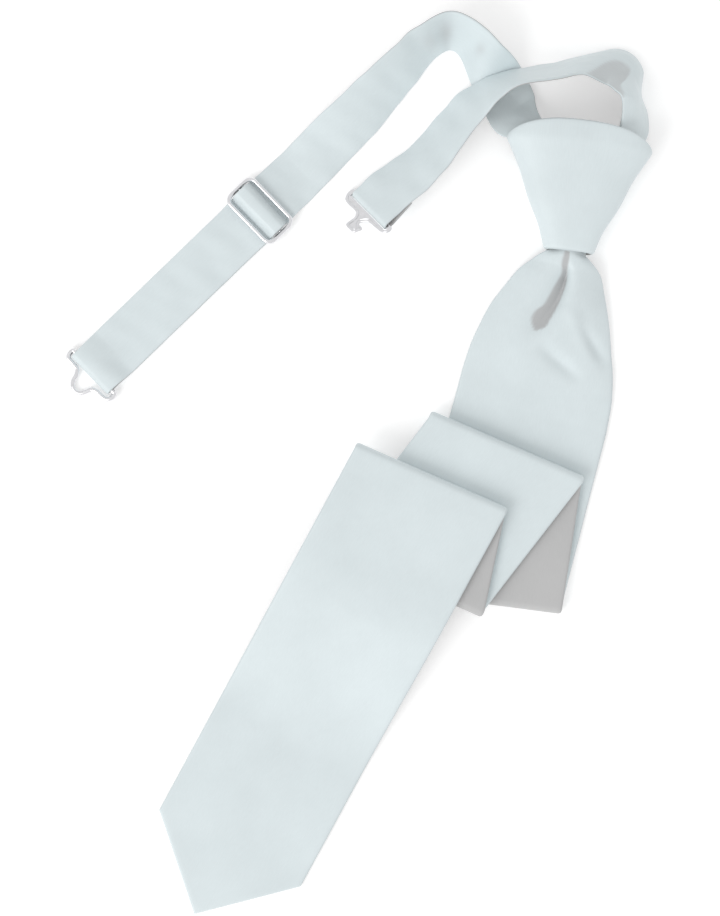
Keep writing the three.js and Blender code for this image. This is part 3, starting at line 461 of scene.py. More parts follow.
def cloth_mesh(name, rows, thickness, shade=None, evened=0, edge_steps=5):
    """Closed cloth round rows of middle points, with rounded edges and ends, that rests on the table."""
    shade = np.zeros(thickness.shape) if shade is None else shade[:, ::-1]
    before = len(rows)
    rows, thickness = rounded_ends(rows[:, ::-1], thickness[:, ::-1])
    shade = np.pad(shade, (((len(rows) - before) // 2,) * 2, (0, 0)), mode="edge")
    inner = inset_rows(rows, thickness)
    normals = grid_normals(inner)
    for _ in range(evened):
        sides = np.pad(normals, ((0, 0), (1, 1), (0, 0)), mode="edge")
        normals = unit(sides[:, :-2] + 2 * normals + sides[:, 2:])
    across = unit(np.gradient(inner, axis=1))
    half = thickness[..., None] / 2
    count = rows.shape[1]
    angles = [math.pi * (k + 1) / (edge_steps + 1) for k in range(edge_steps)]
    reach = np.concatenate([
        np.zeros((len(rows), 1)),
        np.cumsum(np.linalg.norm(np.diff(inner, axis=1), axis=2), axis=1),
    ], axis=1)
    reach -= reach[:, -1:] / 2
    along = np.cumsum(np.concatenate([[0], np.linalg.norm(np.diff(inner[:, count // 2], axis=0), axis=1)]))
    ring, side, rim, places = [], [], [], []

    def add(points, under, edge, place):
        ring.append(points)
        side.append(under)
        rim.append(edge)
        places.append(place)

    for j in range(count):
        add(inner[:, j] + normals[:, j] * half[:, j], 0.0, 0.0, reach[:, j])
    # The edge value marks the rounded edges, which the satin darkens as painted shade.
    for angle in angles:
        out = across[:, -1] * math.sin(angle) + normals[:, -1] * math.cos(angle)
        add(inner[:, -1] + out * half[:, -1], (1 - math.cos(angle)) / 2, math.sin(angle),
            reach[:, -1] + thickness[:, -1] / 2 * math.sin(angle))
    for j in reversed(range(count)):
        add(inner[:, j] - normals[:, j] * half[:, j], 1.0, 0.0, reach[:, j])
    for angle in reversed(angles):
        out = -across[:, 0] * math.sin(angle) + normals[:, 0] * math.cos(angle)
        add(inner[:, 0] + out * half[:, 0], (1 - math.cos(angle)) / 2, math.sin(angle),
            reach[:, 0] - thickness[:, 0] / 2 * math.sin(angle))
    grid = np.stack(ring, axis=1)
    grid[..., 2] = np.maximum(grid[..., 2], 0)
    across_place = np.stack(places, axis=1)
    along_place = np.repeat(along[:, None], grid.shape[1], axis=1)
    # Painted shade lies on the upper face only.
    painted_shade = np.zeros(grid.shape[:2])
    painted_shade[:, :count] = shade
    attributes = {UNDERSIDE: np.tile(side, len(rows)), EDGE: np.tile(rim, len(rows)), SHADE: painted_shade.ravel()}
    middle = edge_steps // 2
    left = 2 * count + edge_steps + middle
    upper = [*range(left, 2 * count + 2 * edge_steps), *range(count + middle + 1)]
    lower = [*range(left, count + middle - 1, -1)]
    return ring_mesh(name, grid, across_place, along_place, attributes, caps=(upper, lower))


def ring_mesh(name, grid, across, along, attributes, caps=None, closed_rows=False):
    """Mesh over a grid of points whose columns close into a ring, with the cloth's own coordinates."""
    count, ring = grid.shape[:2]
    wrap = lambda values: np.concatenate([values, values[:, :1]], axis=1) if values.shape[1] == ring else values
    across, along = wrap(across), wrap(along)
    row = np.arange(count if closed_rows else count - 1)[:, None]
    column = np.arange(ring)[None, :]
    turns = ((0, 0), (0, 1), (1, 1), (1, 0))
    faces = np.stack([((row + a) % count) * ring + (column + b) % ring for a, b in turns], axis=-1)
    corners = np.stack([
        np.stack([across[row + a, column + b], along[row + a, column + b]], axis=-1) for a, b in turns
    ], axis=2)
    faces = faces.reshape(-1, 4).tolist()
    corners = corners.reshape(-1, 2).tolist()
    if caps:
        upper, lower = caps
        for base, flip in ((0, False), ((count - 1) * ring, True)):
            for p in range(len(upper) - 1):
                face = [upper[p], lower[p], lower[p + 1], upper[p + 1]]
                face = [v for k, v in enumerate(face) if v not in face[:k]]
                face = face[::-1] if flip else face
                faces.append([base + v for v in face])
                corners += [[across[base // ring, v], along[base // ring, v]] for v in face]
    mesh = bpy.data.meshes.new(name)
    mesh.from_pydata(grid.reshape(-1, 3).tolist(), [], faces)
    layer = mesh.uv_layers.new(name=CLOTH_UV)
    layer.data.foreach_set("uv", np.array(corners, np.float32).ravel())
    for key, values in attributes.items():
        mesh.attributes.new(key, "FLOAT", "POINT").data.foreach_set("value", np.asarray(values, np.float32))
    mesh.shade_smooth()
    return mesh


def new_piece(name, mesh, material, node):
    """Object at the origin that rides on the tie's body and stands for its CAD node."""
    piece = bpy.data.objects.new(name, mesh)
    bpy.context.scene.collection.objects.link(piece)
    if not mesh.materials:
        mesh.materials.append(material)
    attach(piece, "root")
    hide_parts(node)
    return piece


def placed(points):
    """Points from the knot's foot to the row frame."""
    return points + np.array(KNOT_FOOT)


# Blade


def throat_row(cloth, distance, v):
    """Points across the blade at a distance from the knot's foot."""
    share = max(distance / THROAT_LENGTH, 0.0)
    bundled = distance <= 0
    value = lambda name: table_value(THROAT, "along", share, name)
    west = BUNDLE_WIDTH / 2 if bundled else value("west") * cloth.blade_width
    east = BUNDLE_WIDTH / 2 if bundled else value("east") * cloth.blade_width
    aside = -west + (west + east) * (v + 1) / 2
    spread = np.where(v < value("at"), 1.25, 0.5) * value("spread")
    dimple = np.exp(-np.abs((v - value("at")) / spread) ** 1.35)
    rest = cloth.blade_thickness / 2
    height = (
        rest
        + value("lift") * (KNOT_FOOT_DEPTH / 2 - rest)
        + value("crown") * cloth.crown_height * (1 - v * v)
        - (0 if bundled else value("groove")) * cloth.dimple_depth * dimple * min(value("crown") * 1.2, 1)
    )
    row = distance * direction(RUNS[0]["heading"]) + aside[:, None] * direction(RUNS[0]["heading"] + 90)
    row[:, 2] = height
    return row


def throat_thickness(cloth, distance, v):
    """Thickness across the blade near the knot."""
    bulk = table_value(THROAT, "along", max(distance / THROAT_LENGTH, 0.0), "bulk")
    bundle = BUNDLE_THICKNESS * (1 - 0.72 * v * v)
    return cloth.blade_thickness + (bundle - cloth.blade_thickness) * bulk


def fold_lines(cloth):
    """Middle, direction and half length of the line that ends each run."""
    lines, middle = [], np.zeros(3)
    for index, entry in enumerate(RUNS):
        middle = middle + direction(entry["heading"]) * entry["run"] * cloth.blade_length
        line = direction(entry["crease"])
        slant = lambda heading: abs(np.cross(direction(heading), line)[2])
        after = RUNS[index + 1] if index + 1 < len(RUNS) else None
        meeting = (slant(entry["heading"]) + slant(after["heading"])) / 2 if after else 1
        lines.append((middle, line, cloth.blade_width / 2 / meeting))
    return lines


def blade_rows(cloth, columns=56, fold_steps=14):
    """Middle points and thickness of the blade, from inside the knot to its point."""
    v = np.linspace(-1, 1, columns + 1)
    pitch = cloth.blade_thickness + FOLD_GAP
    rest = cloth.blade_thickness / 2
    lines = fold_lines(cloth)
    plain = np.full(columns + 1, cloth.blade_thickness)
    rows, walls = [], []

    def outward(index):
        out = direction(RUNS[index]["crease"] + 90)
        return out * np.sign(out @ direction(RUNS[index]["heading"]))

    def line_points(index):
        middle, line, half = lines[index]
        return middle - outward(index) * pitch / 2 + v[:, None] * half * line

    rows.append(throat_row(cloth, -BUNDLE_REACH, v))
    walls.append(throat_thickness(cloth, 0, v))
    throat_steps = 80
    for i in range(throat_steps + 1):
        distance = THROAT_LENGTH * (i / throat_steps) ** 1.3
        rows.append(throat_row(cloth, distance, v))
        walls.append(throat_thickness(cloth, distance, v))

    def add_run(starts, ends, steps, height_at):
        for i in range(1, steps + 1):
            row = starts + (ends - starts) * i / (steps + 1)
            row[:, 2] = height_at(row)
            rows.append(row)
            walls.append(plain)

    starts = rows[-1].copy()
    last = len(RUNS) - 1
    for index in range(last):
        level = rest + index * pitch
        add_run(starts, line_points(index), 34 if index == 0 else 22, lambda row: np.full(len(row), level))
        for i in range(fold_steps + 1):
            turn = math.pi * i / fold_steps
            row = line_points(index) + outward(index) * pitch / 2 * math.sin(turn)
            row[:, 2] = level + pitch / 2 * (1 - math.cos(turn))
            rows.append(row)
            walls.append(plain)
        starts = line_points(index)

    travel = direction(RUNS[last]["heading"])
    to_west = direction(RUNS[last]["heading"] - 90)
    start = lines[last - 1][0]
    top = rest + last * pitch
    reach = [0.0]
    for index in (0, 2):
        for corner in line_points(index)[[0, -1]]:
            if abs((corner - start) @ to_west) < cloth.blade_width / 2 + pitch:
                reach.append((corner - start) @ travel)
    stack_end = max(reach) + pitch

    def fall(row):
        beyond = (row - start) @ travel - stack_end
        return top + (rest - top) * smooth_step(beyond / FALL_LENGTH)

    shoulder = lines[last][0] - travel * TIP_LENGTH
    ends = shoulder + TIP_LENGTH * (1 - np.abs(v))[:, None] * travel - v[:, None] * cloth.blade_width / 2 * to_west
    add_run(starts, ends, 90, fall)
    ends[:, 2] = fall(ends)
    rows.append(ends)
    walls.append(plain)
    return np.array(rows), np.array(walls)


def blade_mesh(cloth):
    """The folded blade with its creases, soft waves and painted shade deep in its dimple."""
    rows, walls = blade_rows(cloth)
    first_run = 1 + 80 + 1 + 34
    creases = np.zeros(rows.shape[:2])
    creases[:first_run] = creased(rows[:first_run], THROAT_CREASES, cloth.blade_width, cloth.dimple_depth)
    waves = ripple(rows, 11, cloth.blade_ripple, 0.022, 0.06, 241.6, 50)
    waves[:30] *= np.linspace(0, 1, 30)[:, None]
    # Painted shade: grey over the deep part of the dimple.
    shade = np.zeros(rows.shape[:2])
    travel = direction(RUNS[0]["heading"])
    to_east = direction(RUNS[0]["heading"] + 90)
    for i in range(first_run):
        along = rows[i, 0] @ travel / THROAT_LENGTH
        if 0 <= along <= DIMPLE_SHADE[-1]["along"]:
            aside = rows[i] @ to_east
            west, east = (
                table_value(DIMPLE_SHADE, "along", along, side) * cloth.blade_width for side in ("west", "east")
            )
            shade[i] = smooth_step((aside - west) / 0.0016 + 0.5) * smooth_step((east - aside) / 0.0009 + 0.5)
    return cloth_mesh("blade_cloth", placed(ripple_rows(rows, waves - creases)), walls, shade, evened=60)


# Knot


def knot_mesh(cloth, round_steps=120, rise_steps=40, rim_steps=7):
    """Hollow funnel of cloth lying on its back, with rounded rims at its foot and mouth."""
    angles = np.linspace(0, 2 * math.pi, round_steps, endpoint=False)
    half_wall = cloth.knot_wall / 2

    def shell(share, inset):
        side = np.sin(angles) ** 2
        front = np.sin(angles) > 0
        rim = cloth.knot_height + np.where(front, KNOT_ARCH, -KNOT_BACK_DROP) * side**0.65
        up = share * rim
        column = lambda name: (
            table_value(KNOT_SIDES, "up", up / cloth.knot_height, name) * cloth.knot_top_width / 2
        )
        depth = KNOT_FOOT_DEPTH + (KNOT_MOUTH_DEPTH - KNOT_FOOT_DEPTH) * np.minimum(up / cloth.knot_height, 1)
        power = lambda value: np.sign(value) * np.abs(value) ** 0.8
        return np.stack([
            column("shift") + (column("half") - inset) * power(np.cos(angles)),
            up,
            depth / 2 + (depth / 2 - inset) * power(np.sin(angles)),
        ], axis=1)

    edge_share = half_wall / cloth.knot_height
    profile = []
    for i in range(rise_steps + 1):
        profile.append((edge_share + (1 - 2 * edge_share) * i / rise_steps, 0.0, 0.0))
    for k in range(1, rim_steps):
        turn = math.pi * k / rim_steps
        profile.append((1 - edge_share + edge_share * math.sin(turn), half_wall * (1 - math.cos(turn)), k / rim_steps))
    for i in range(rise_steps + 1):
        profile.append((1 - edge_share - (1 - 2 * edge_share) * i / rise_steps, cloth.knot_wall, 1.0))
    for k in range(1, rim_steps):
        turn = math.pi * k / rim_steps
        profile.append((edge_share - edge_share * math.sin(turn), half_wall * (1 + math.cos(turn)), 1 - k / rim_steps))
    grid = np.array([shell(share, inset) for share, inset, _ in profile])
    count = len(profile)
    under = np.repeat([entry[2] for entry in profile], round_steps)
    # Rounded rims, darkened by the satin as painted shade.
    edge = np.sin(math.pi * under)
    around = np.linspace(0, cloth.knot_top_width * 2.2, round_steps + 1)
    heights = np.array([entry[0] * cloth.knot_height for entry in profile] + [0.0])
    across = np.repeat(around[None, :], count + 1, axis=0)
    along = np.repeat(heights[:, None], round_steps + 1, axis=1)
    lean = math.radians(-KNOT_LEAN)
    turned = grid.copy()
    turned[..., 0] = grid[..., 0] * math.cos(lean) - grid[..., 1] * math.sin(lean)
    turned[..., 1] = grid[..., 0] * math.sin(lean) + grid[..., 1] * math.cos(lean)
    turned = placed(turned)[:, ::-1]
    return ring_mesh("knot_cloth", turned, across, along, {UNDERSIDE: under, EDGE: edge}, closed_rows=True)


# Straps


def band_section(roll, curl, width, count):
    """Points across a strap, right and up of its middle, on an arc of the given slope and curl."""
    share = np.linspace(0.5, -0.5, count)
    if abs(curl) < 1e-3:
        points = np.stack([share * math.cos(roll), share * math.sin(roll)], axis=1)
    else:
        slope = roll + curl * share
        points = np.stack([np.sin(slope) - math.sin(roll), math.cos(roll) - np.cos(slope)], axis=1) / curl
    points *= width
    points[:, 0] -= (points[0, 0] + points[-1, 0]) / 2
    points[:, 1] -= points[:, 1].min()
    return points


def route_rows(cloth, route, length, steps, count):
    """Rows of points across a strap along its route."""
    shares = np.linspace(0, 1, steps + 1)
    table = np.array(route, float)
    table[:, :2] *= length
    centres, travels = curve_through(np.column_stack([table[:, :2], np.zeros(len(table))]), shares)
    columns, _ = curve_through(table[:, 2:], shares)
    rows = []
    for centre, travel, (roll, curl, lift, width) in zip(centres, unit(travels), columns):
        right = np.array([travel[1], -travel[0], 0])
        section = band_section(math.radians(roll), math.radians(curl), width * cloth.band_width, count)
        row = centre + section[:, :1] * right
        row[:, 2] = max(lift * cloth.band_width, 0) + cloth.band_thickness / 2 + section[:, 1]
        rows.append(row)
    return rows


class StrapEnd:
    """Frame at the end of a strap's route: its middle, travel, direction across and upward normal."""

    def __init__(self, rows, heading, roll):
        slope = math.radians(roll)
        self.origin = (rows[-1][0] + rows[-1][-1]) / 2
        self.along = direction(heading)
        self.across = direction(heading - 90) * math.cos(slope) + np.array([0, 0, math.sin(slope)])
        self.normal = np.cross(self.across, self.along)

    def point(self, along, height):
        """Point at a distance along the strap and above its plane."""
        return self.origin + self.along * along + self.normal * height

    def rows(self, profile, width_at, count):
        """Rows of points across the strap along a profile of places and heights."""
        share = np.linspace(0.5, -0.5, count)[:, None]
        return [self.point(a, h) + self.across * width_at(a) * share for a, h in profile]

    def place(self, along, height):
        """Transform that puts a flat metal piece at a distance along the strap."""
        across = np.cross(self.along, self.normal)
        matrix = Matrix.Identity(4)
        for k, axis in enumerate((across, self.along, self.normal)):
            matrix.col[k][:3] = axis
        matrix.col[3][:3] = placed(self.point(along, height))
        return matrix


def turn_profile(along, height, radius, first, last, steps=14):
    """Points of a round turn between two angles."""
    angles = np.radians(np.linspace(first, last, steps + 1))
    return [(along + radius * math.cos(a), height + radius * math.sin(a)) for a in angles]


def slope_profile(start, end, steps=12):
    """Smooth rise or fall of a profile between two places."""
    shares = np.linspace(0, 1, steps + 1)
    return [
        (start[0] + (end[0] - start[0]) * s, start[1] + (end[1] - start[1]) * float(smooth_step(s)))
        for s in shares
    ]


def spaced_profile(profile, pitch=0.0022):
    """A profile with extra points on its long straight stretches."""
    made = [profile[0]]
    for start, end in zip(profile, profile[1:]):
        steps = max(int(math.dist(start, end) / pitch), 1)
        made += [tuple(a + (b - a) * k / steps for a, b in zip(start, end)) for k in range(1, steps + 1)]
    return made


def eye_loop_radius(cloth, metal):
    """Radius of the strap's fold round the eye's wire."""
    return (metal.wire_diameter + cloth.band_thickness) / 2 + GAP


def hook_loop_radius(cloth, metal):
    """Radius of the strap's fold round the hook's plate."""
    return (math.hypot(metal.hook_plate, HOOK_BAR) + cloth.band_thickness) / 2 + GAP


SLIDER_MIDDLE = 0.001


def slider_floor(cloth):
    """Height of the slider above the strap's lower middle."""
    return 2 * cloth.band_thickness + 2 * GAP


def slider_strap(cloth, metal, count=21):
    """Rows, end frame and eye place of the long strap that is doubled through the slider."""
    rows = [*drawn_apart(route_rows(cloth, SLIDER_ROUTE, SLIDER_STRAP_LOOP, SLIDER_ROUTE_STEPS, count))]
    end = StrapEnd(rows, SLIDER_STRAP_HEADING, 0)
    pitch = cloth.band_thickness + GAP
    loop = eye_loop_radius(cloth, metal)
    wrap = (SLIDER_MIDDLE + cloth.band_thickness) / 2 + GAP
    wrap_z = slider_floor(cloth) + SLIDER_MIDDLE / 2 - cloth.band_thickness / 2
    here = SLIDER_DISTANCE
    outer = metal.slider_length / 2
    inner = outer - metal.slider_bar
    crest = wrap_z + wrap + pitch
    half = metal.slider_bar / 2 + GAP
    eye = here + DOUBLED_LENGTH - loop - cloth.band_thickness / 2
    eye_start = eye - 3 * EASY_BEND
    wall = cloth.band_thickness
    profile = [
        *slope_profile((EASY_BEND, 0), (here - outer - wall, pitch)),
        *slope_profile((here - inner + GAP, pitch), (here - half, crest)),
        *slope_profile((here + half, crest), (here + inner - GAP, pitch)),
        (here + outer + wall, pitch),
        (eye_start - EASY_BEND, pitch),
        *slope_profile((eye_start, pitch), (eye - wall, 2 * loop)),
        *turn_profile(eye, loop, loop, 90, -90),
        (eye - EASY_BEND, 0),
        (here + outer + EASY_BEND, 0),
        *slope_profile((here + outer - wall, 0), (here + inner - pitch, wrap_z - wrap)),
        *turn_profile(here - metal.slider_bar / 2 + GAP, wrap_z, wrap, 270, 90),
        (here + half - GAP, wrap_z + wrap),
    ]

    def width_at(along):
        narrowed = EYE_INSET * float(smooth_step((along - eye_start) / (eye - eye_start)))
        spread = SLIDER_SPREAD * float(smooth_step(1.6 - abs(along - here) / outer))
        return cloth.band_width - narrowed + spread

    rows += end.rows(spaced_profile(profile), width_at, count)
    return np.array(rows), end, eye


def hook_strap(cloth, metal, count=21):
    """Rows, end frame and bar place of the short strap that carries the hook."""
    rows = [*drawn_apart(route_rows(cloth, HOOK_ROUTE, HOOK_STRAP_LOOP, HOOK_ROUTE_STEPS, count))]
    end = StrapEnd(rows, HOOK_STRAP_HEADING, HOOK_STRAP_ROLL)
    loop = hook_loop_radius(cloth, metal)
    bar = HOOK_STRAP_END - loop - cloth.band_thickness / 2
    pitch = cloth.band_thickness + GAP
    profile = [
        (bar / 2, 0),
        (bar - cloth.band_thickness, 0),
        *turn_profile(bar, -loop, loop, 90, -90),
        (bar - 2 * cloth.band_thickness, -2 * loop),
        (bar - HOOK_TAIL, -pitch),
    ]
    rows += end.rows(spaced_profile(profile), lambda along: cloth.band_width, count)
    return np.array(rows), end, bar


def strap_mesh(cloth, name, rows, seed, heading, turned=False):
    """A strap with its soft waves and painted shade, and with creases and a painted grey shade on its inner face where
    it is turned.
    """
    waves = ripple(rows, seed, cloth.strap_ripple, 0.008, 0.026, heading, 24)
    walls = np.full(rows.shape[:2], cloth.band_thickness)
    shade = np.zeros(walls.shape)
    if not turned:
        along = np.arange(len(rows))[:, None] / SLIDER_ROUTE_STEPS
        across = np.linspace(1, 0, rows.shape[1])[None, :]
        # Painted shade spots on the slider strap.
        for spot in PAINTED_SHADE_SPOTS:
            away = ((along - spot["along"]) / spot["long"]) ** 2 + ((across - spot["across"]) / spot["wide"]) ** 2
            shade += spot["shade"] * np.exp(-away)
    if turned:
        from_inner = np.linspace(1, 0, rows.shape[1])
        for i in range(HOOK_ROUTE_STEPS + 1):
            along = i / HOOK_ROUTE_STEPS
            reach = float(table_value(PAINTED_INNER_SHADE, "along", along, "reach"))
            # Painted shade over the inner face of the turn.
            shade[i] = 0.6 * smooth_step((reach - from_inner) / 0.08 + 0.5) * (reach > 0)
            bent = math.exp(-(((along - 0.33) / 0.16) ** 2))
            streaks = np.sin(from_inner * 27 + 2.2 * math.sin(along * 11)) + 0.6 * np.sin(from_inner * 46 + along * 9)
            waves[i] += streaks * bent * cloth.strap_ripple * np.clip(1.6 * (from_inner - reach), 0, 1)
    return cloth_mesh(name, placed(ripple_rows(rows, waves)), walls, shade)


# Metal pieces


def sweep_tree():
    """Geometry Nodes that sweep an oval bar along a path."""
    tree = bpy.data.node_groups.new("Necktie Bar", "GeometryNodeTree")
    face = tree.interface
    face.new_socket("Path", in_out="INPUT", socket_type="NodeSocketGeometry")
    width = face.new_socket("Width", in_out="INPUT", socket_type="NodeSocketFloat")
    height = face.new_socket("Height", in_out="INPUT", socket_type="NodeSocketFloat")
    spacing = face.new_socket("Spacing", in_out="INPUT", socket_type="NodeSocketFloat")
    sides = face.new_socket("Sides", in_out="INPUT", socket_type="NodeSocketInt")
    material = face.new_socket("Material", in_out="INPUT", socket_type="NodeSocketMaterial")
    face.new_socket("Bar", in_out="OUTPUT", socket_type="NodeSocketGeometry")
    width.default_value, height.default_value = 0.002, 0.002
    spacing.default_value, sides.default_value = 0.0005, 20
    add, link = tree.nodes.new, tree.links.new
    start, end = add("NodeGroupInput"), add("NodeGroupOutput")
    resample = add("GeometryNodeResampleCurve")
    resample.mode = "LENGTH"
    upright = add("GeometryNodeSetCurveNormal")
    upright.mode = "Z_UP"
    circle = add("GeometryNodeCurvePrimitiveCircle")
    circle.inputs["Radius"].default_value = 0.5
    size = add("ShaderNodeCombineXYZ")
    oval = add("GeometryNodeTransform")
    sweep = add("GeometryNodeCurveToMesh")
    sweep.inputs["Fill Caps"].default_value = True
    smooth = add("GeometryNodeSetShadeSmooth")
    realize = add("GeometryNodeRealizeInstances")
    paint = add("GeometryNodeSetMaterial")
    link(start.outputs["Path"], resample.inputs["Curve"])
    link(start.outputs["Spacing"], resample.inputs["Length"])
    link(resample.outputs["Curve"], upright.inputs["Curve"])
    link(start.outputs["Sides"], circle.inputs["Resolution"])
    link(start.outputs["Height"], size.inputs["X"])
    link(start.outputs["Width"], size.inputs["Y"])
    link(circle.outputs["Curve"], oval.inputs["Geometry"])
    link(size.outputs["Vector"], oval.inputs["Scale"])
    link(upright.outputs["Curve"], sweep.inputs["Curve"])
    link(oval.outputs["Geometry"], sweep.inputs["Profile Curve"])
    link(sweep.outputs["Mesh"], smooth.inputs["Geometry"])
    link(smooth.outputs["Geometry"], realize.inputs["Geometry"])
    link(realize.outputs["Geometry"], paint.inputs["Geometry"])
    link(start.outputs["Material"], paint.inputs["Material"])
    link(paint.outputs["Geometry"], end.inputs["Bar"])
    return tree


def path_object(points, cyclic):
    """Poly curve through points, for a bar to follow."""
    curve = bpy.data.curves.new("bar_path", "CURVE")
    curve.dimensions = "3D"
    spline = curve.splines.new("POLY")
    spline.points.add(len(points) - 1)
    spline.points.foreach_set("co", np.column_stack([points, np.ones(len(points))]).ravel())
    spline.use_cyclic_u = cyclic
    path = bpy.data.objects.new("bar_path", curve)
    bpy.context.scene.collection.objects.link(path)
    return path


def swept_bar(points, cyclic, width, height, spacing, sides, material):
    """Mesh of an oval bar along a path."""
    tree = bpy.data.node_groups.get("Necktie Bar") or sweep_tree()
    path = path_object(points, cyclic)
    modifier = path.modifiers.new("bar", "NODES")
    modifier.node_group = tree
    values = {"Width": width, "Height": height, "Spacing": spacing, "Sides": sides, "Material": material}
    for item in tree.interface.items_tree:
        if item.in_out == "INPUT" and item.name in values:
            modifier[item.identifier] = values[item.name]
    evaluated = path.evaluated_get(bpy.context.evaluated_depsgraph_get())
    mesh = bpy.data.meshes.new_from_object(evaluated)
    path.modifiers.remove(modifier)
    bpy.data.objects.remove(path)
    return mesh


def joined(name, meshes, material, matrix):
    """One mesh from several, placed in the row frame."""
    made = bmesh.new()
    for mesh in meshes:
        made.from_mesh(mesh)
    bmesh.ops.remove_doubles(made, verts=made.verts, dist=1e-7)
    bmesh.ops.recalc_face_normals(made, faces=made.faces)
    made.normal_update()
    # Painted shade: how steep the surface is, for darkening the metal's sides into outlines.
    side_shade = [1 - abs(vert.normal.z) for vert in made.verts]
    mesh = bpy.data.meshes.new(name)
    made.to_mesh(mesh)
    made.free()
    mesh.attributes.new(EDGE, "FLOAT", "POINT").data.foreach_set("value", side_shade)
    mesh.transform(matrix)
    mesh.materials.clear()
    mesh.materials.append(material)
    mesh.shade_smooth()
    return mesh


def eye_mesh(cloth, metal, end, along, material):
    """Closed ring of round wire with its bar in the strap's fold."""
    wire = metal.wire_diameter / 2
    half = (cloth.band_width - EYE_INSET) / 2 + GAP + wire
    loop = eye_loop_radius(cloth, metal)
    fold = loop + cloth.band_thickness / 2
    reach = metal.eye_reach - wire
    sag = (fold - wire) / (fold + reach)
    outline = [(across * half, 0.0 if out is BAR else fold + out * reach) for across, out in EYE_OUTLINE]
    corners = np.array([(x, y, -max(y, 0) * sag) for x, y in outline])
    points, _ = curve_through(corners, np.linspace(0, 1, 400, endpoint=False), centripetal=True, closed=True)
    ring = swept_bar(points, True, metal.wire_diameter, metal.wire_diameter, 0.0004, 20, material)
    return joined("eye_wire", [ring], material, end.place(along, loop))


def slider_mesh(cloth, metal, end, material):
    """Rounded frame of oval bars with a thinner middle bar."""
    bar = metal.slider_bar
    half_width, half_length = (metal.slider_width - bar) / 2, (metal.slider_length - bar) / 2
    corner = metal.slider_corner - bar / 2
    points = []
    for turn, (x, y) in enumerate(((1, -1), (1, 1), (-1, 1), (-1, -1))):
        for k in range(13):
            angle = math.radians(-90 + 90 * turn + 90 * k / 12)
            points.append((
                x * (half_width - corner) + corner * math.cos(angle),
                y * (half_length - corner) + corner * math.sin(angle),
                metal.slider_height / 2,
            ))
    ring = swept_bar(np.array(points), True, bar, metal.slider_height, 0.0004, 20, material)
    ends = np.array([(-half_width, 0, SLIDER_MIDDLE / 2), (half_width, 0, SLIDER_MIDDLE / 2)])
    middle = swept_bar(ends, False, bar, SLIDER_MIDDLE, 0.002, 16, material)
    height = slider_floor(cloth) - cloth.band_thickness / 2
    return joined("slider_frame", [ring, middle], material, end.place(SLIDER_DISTANCE, height))


def hook_mesh(cloth, metal, end, along, material):
    """Stamped plate with a slot for the strap, rounded edges and a raised rim."""
    half = metal.hook_width / 2
    loop = hook_loop_radius(cloth, metal)
    fold = loop + cloth.band_thickness / 2
    corners = np.array([(across * half, fold + out * metal.hook_reach, 0) for across, out in reversed(HOOK_OUTLINE)])
    shaped, _ = curve_through(corners, np.linspace(0, 1, 220))
    shaped = shaped[::-1]
    back, corner = -HOOK_BAR / 2, 0.0015
    rear = []
    for x, first in ((-half + corner, 180), (half - corner, 270)):
        for k in range(9):
            angle = math.radians(first + 90 * k / 8)
            rear.append((x + corner * math.cos(angle), back + corner + corner * math.sin(angle), 0))
    outline = np.vstack([shaped, rear])
    bevel = metal.hook_plate * 0.3
    steps = np.roll(outline, -1, axis=0) - np.roll(outline, 1, axis=0)
    out = unit(np.stack([steps[:, 1], -steps[:, 0], np.zeros(len(steps))], axis=1))
    slot_half = cloth.band_width / 2 + GAP
    slot = np.array([
        (-slot_half, HOOK_BAR / 2, 0), (-slot_half, fold + GAP, 0), (slot_half, fold + GAP, 0), (slot_half, HOOK_BAR / 2, 0),
    ])
    curve = bpy.data.curves.new("hook_plate", "CURVE")
    curve.dimensions = "2D"
    curve.fill_mode = "BOTH"
    curve.extrude = metal.hook_plate / 2 - bevel
    curve.bevel_depth = bevel
    curve.bevel_resolution = 2
    for ring in (outline - out * bevel, slot + np.sign(slot - slot.mean(0)) * [bevel, bevel, 0]):
        spline = curve.splines.new("POLY")
        spline.points.add(len(ring) - 1)
        spline.points.foreach_set("co", np.column_stack([ring, np.ones(len(ring))]).ravel())
        spline.use_cyclic_u = True
    plate = bpy.data.objects.new("hook_plate", curve)
    bpy.context.scene.collection.objects.link(plate)
    evaluated = plate.evaluated_get(bpy.context.evaluated_depsgraph_get())
    plate_mesh = bpy.data.meshes.new_from_object(evaluated)
    bpy.data.objects.remove(plate)
    rim_path = (shaped - out[: len(shaped)] * 0.0011)[6:-6] + [0, 0, metal.hook_plate / 2]
    rim = swept_bar(rim_path, False, 0.0006, 0.0004, 0.0003, 10, material)
    return joined("hook_plate", [plate_mesh, rim], material, end.place(along, -loop))


# Materials


def add_node(tree, kind, inputs=None, **settings):
    """New shader node with its settings and plain input values."""
    made = tree.nodes.new(kind)
    for key, value in settings.items():
        setattr(made, key, value)
    for key, value in (inputs or {}).items():
        made.inputs[key].default_value = value
    return made


def mixed(tree, kind, factor, first, second):
    """Colour mix of two sockets or colours."""
    made = add_node(tree, "ShaderNodeMix", data_type="RGBA", blend_type=kind)
    for socket, value in ((made.inputs[0], factor), (made.inputs[6], first), (made.inputs[7], second)):
        if hasattr(value, "is_output"):
            tree.links.new(value, socket)
        else:
            socket.default_value = value
    return made.outputs[2]


def ranged(tree, value, low, high, source=(0.0, 1.0)):
    """Value carried from one range to another."""
    made = add_node(tree, "ShaderNodeMapRange", {1: source[0], 2: source[1], 3: low, 4: high})
    tree.links.new(value, made.inputs[0])
    return made.outputs[0]


def new_material(name):
    """Material with its node tree and shader."""
    material = bpy.data.materials.new(name)
    material.use_nodes = True
    tree = material.node_tree
    return material, tree, tree.nodes["Principled BSDF"]


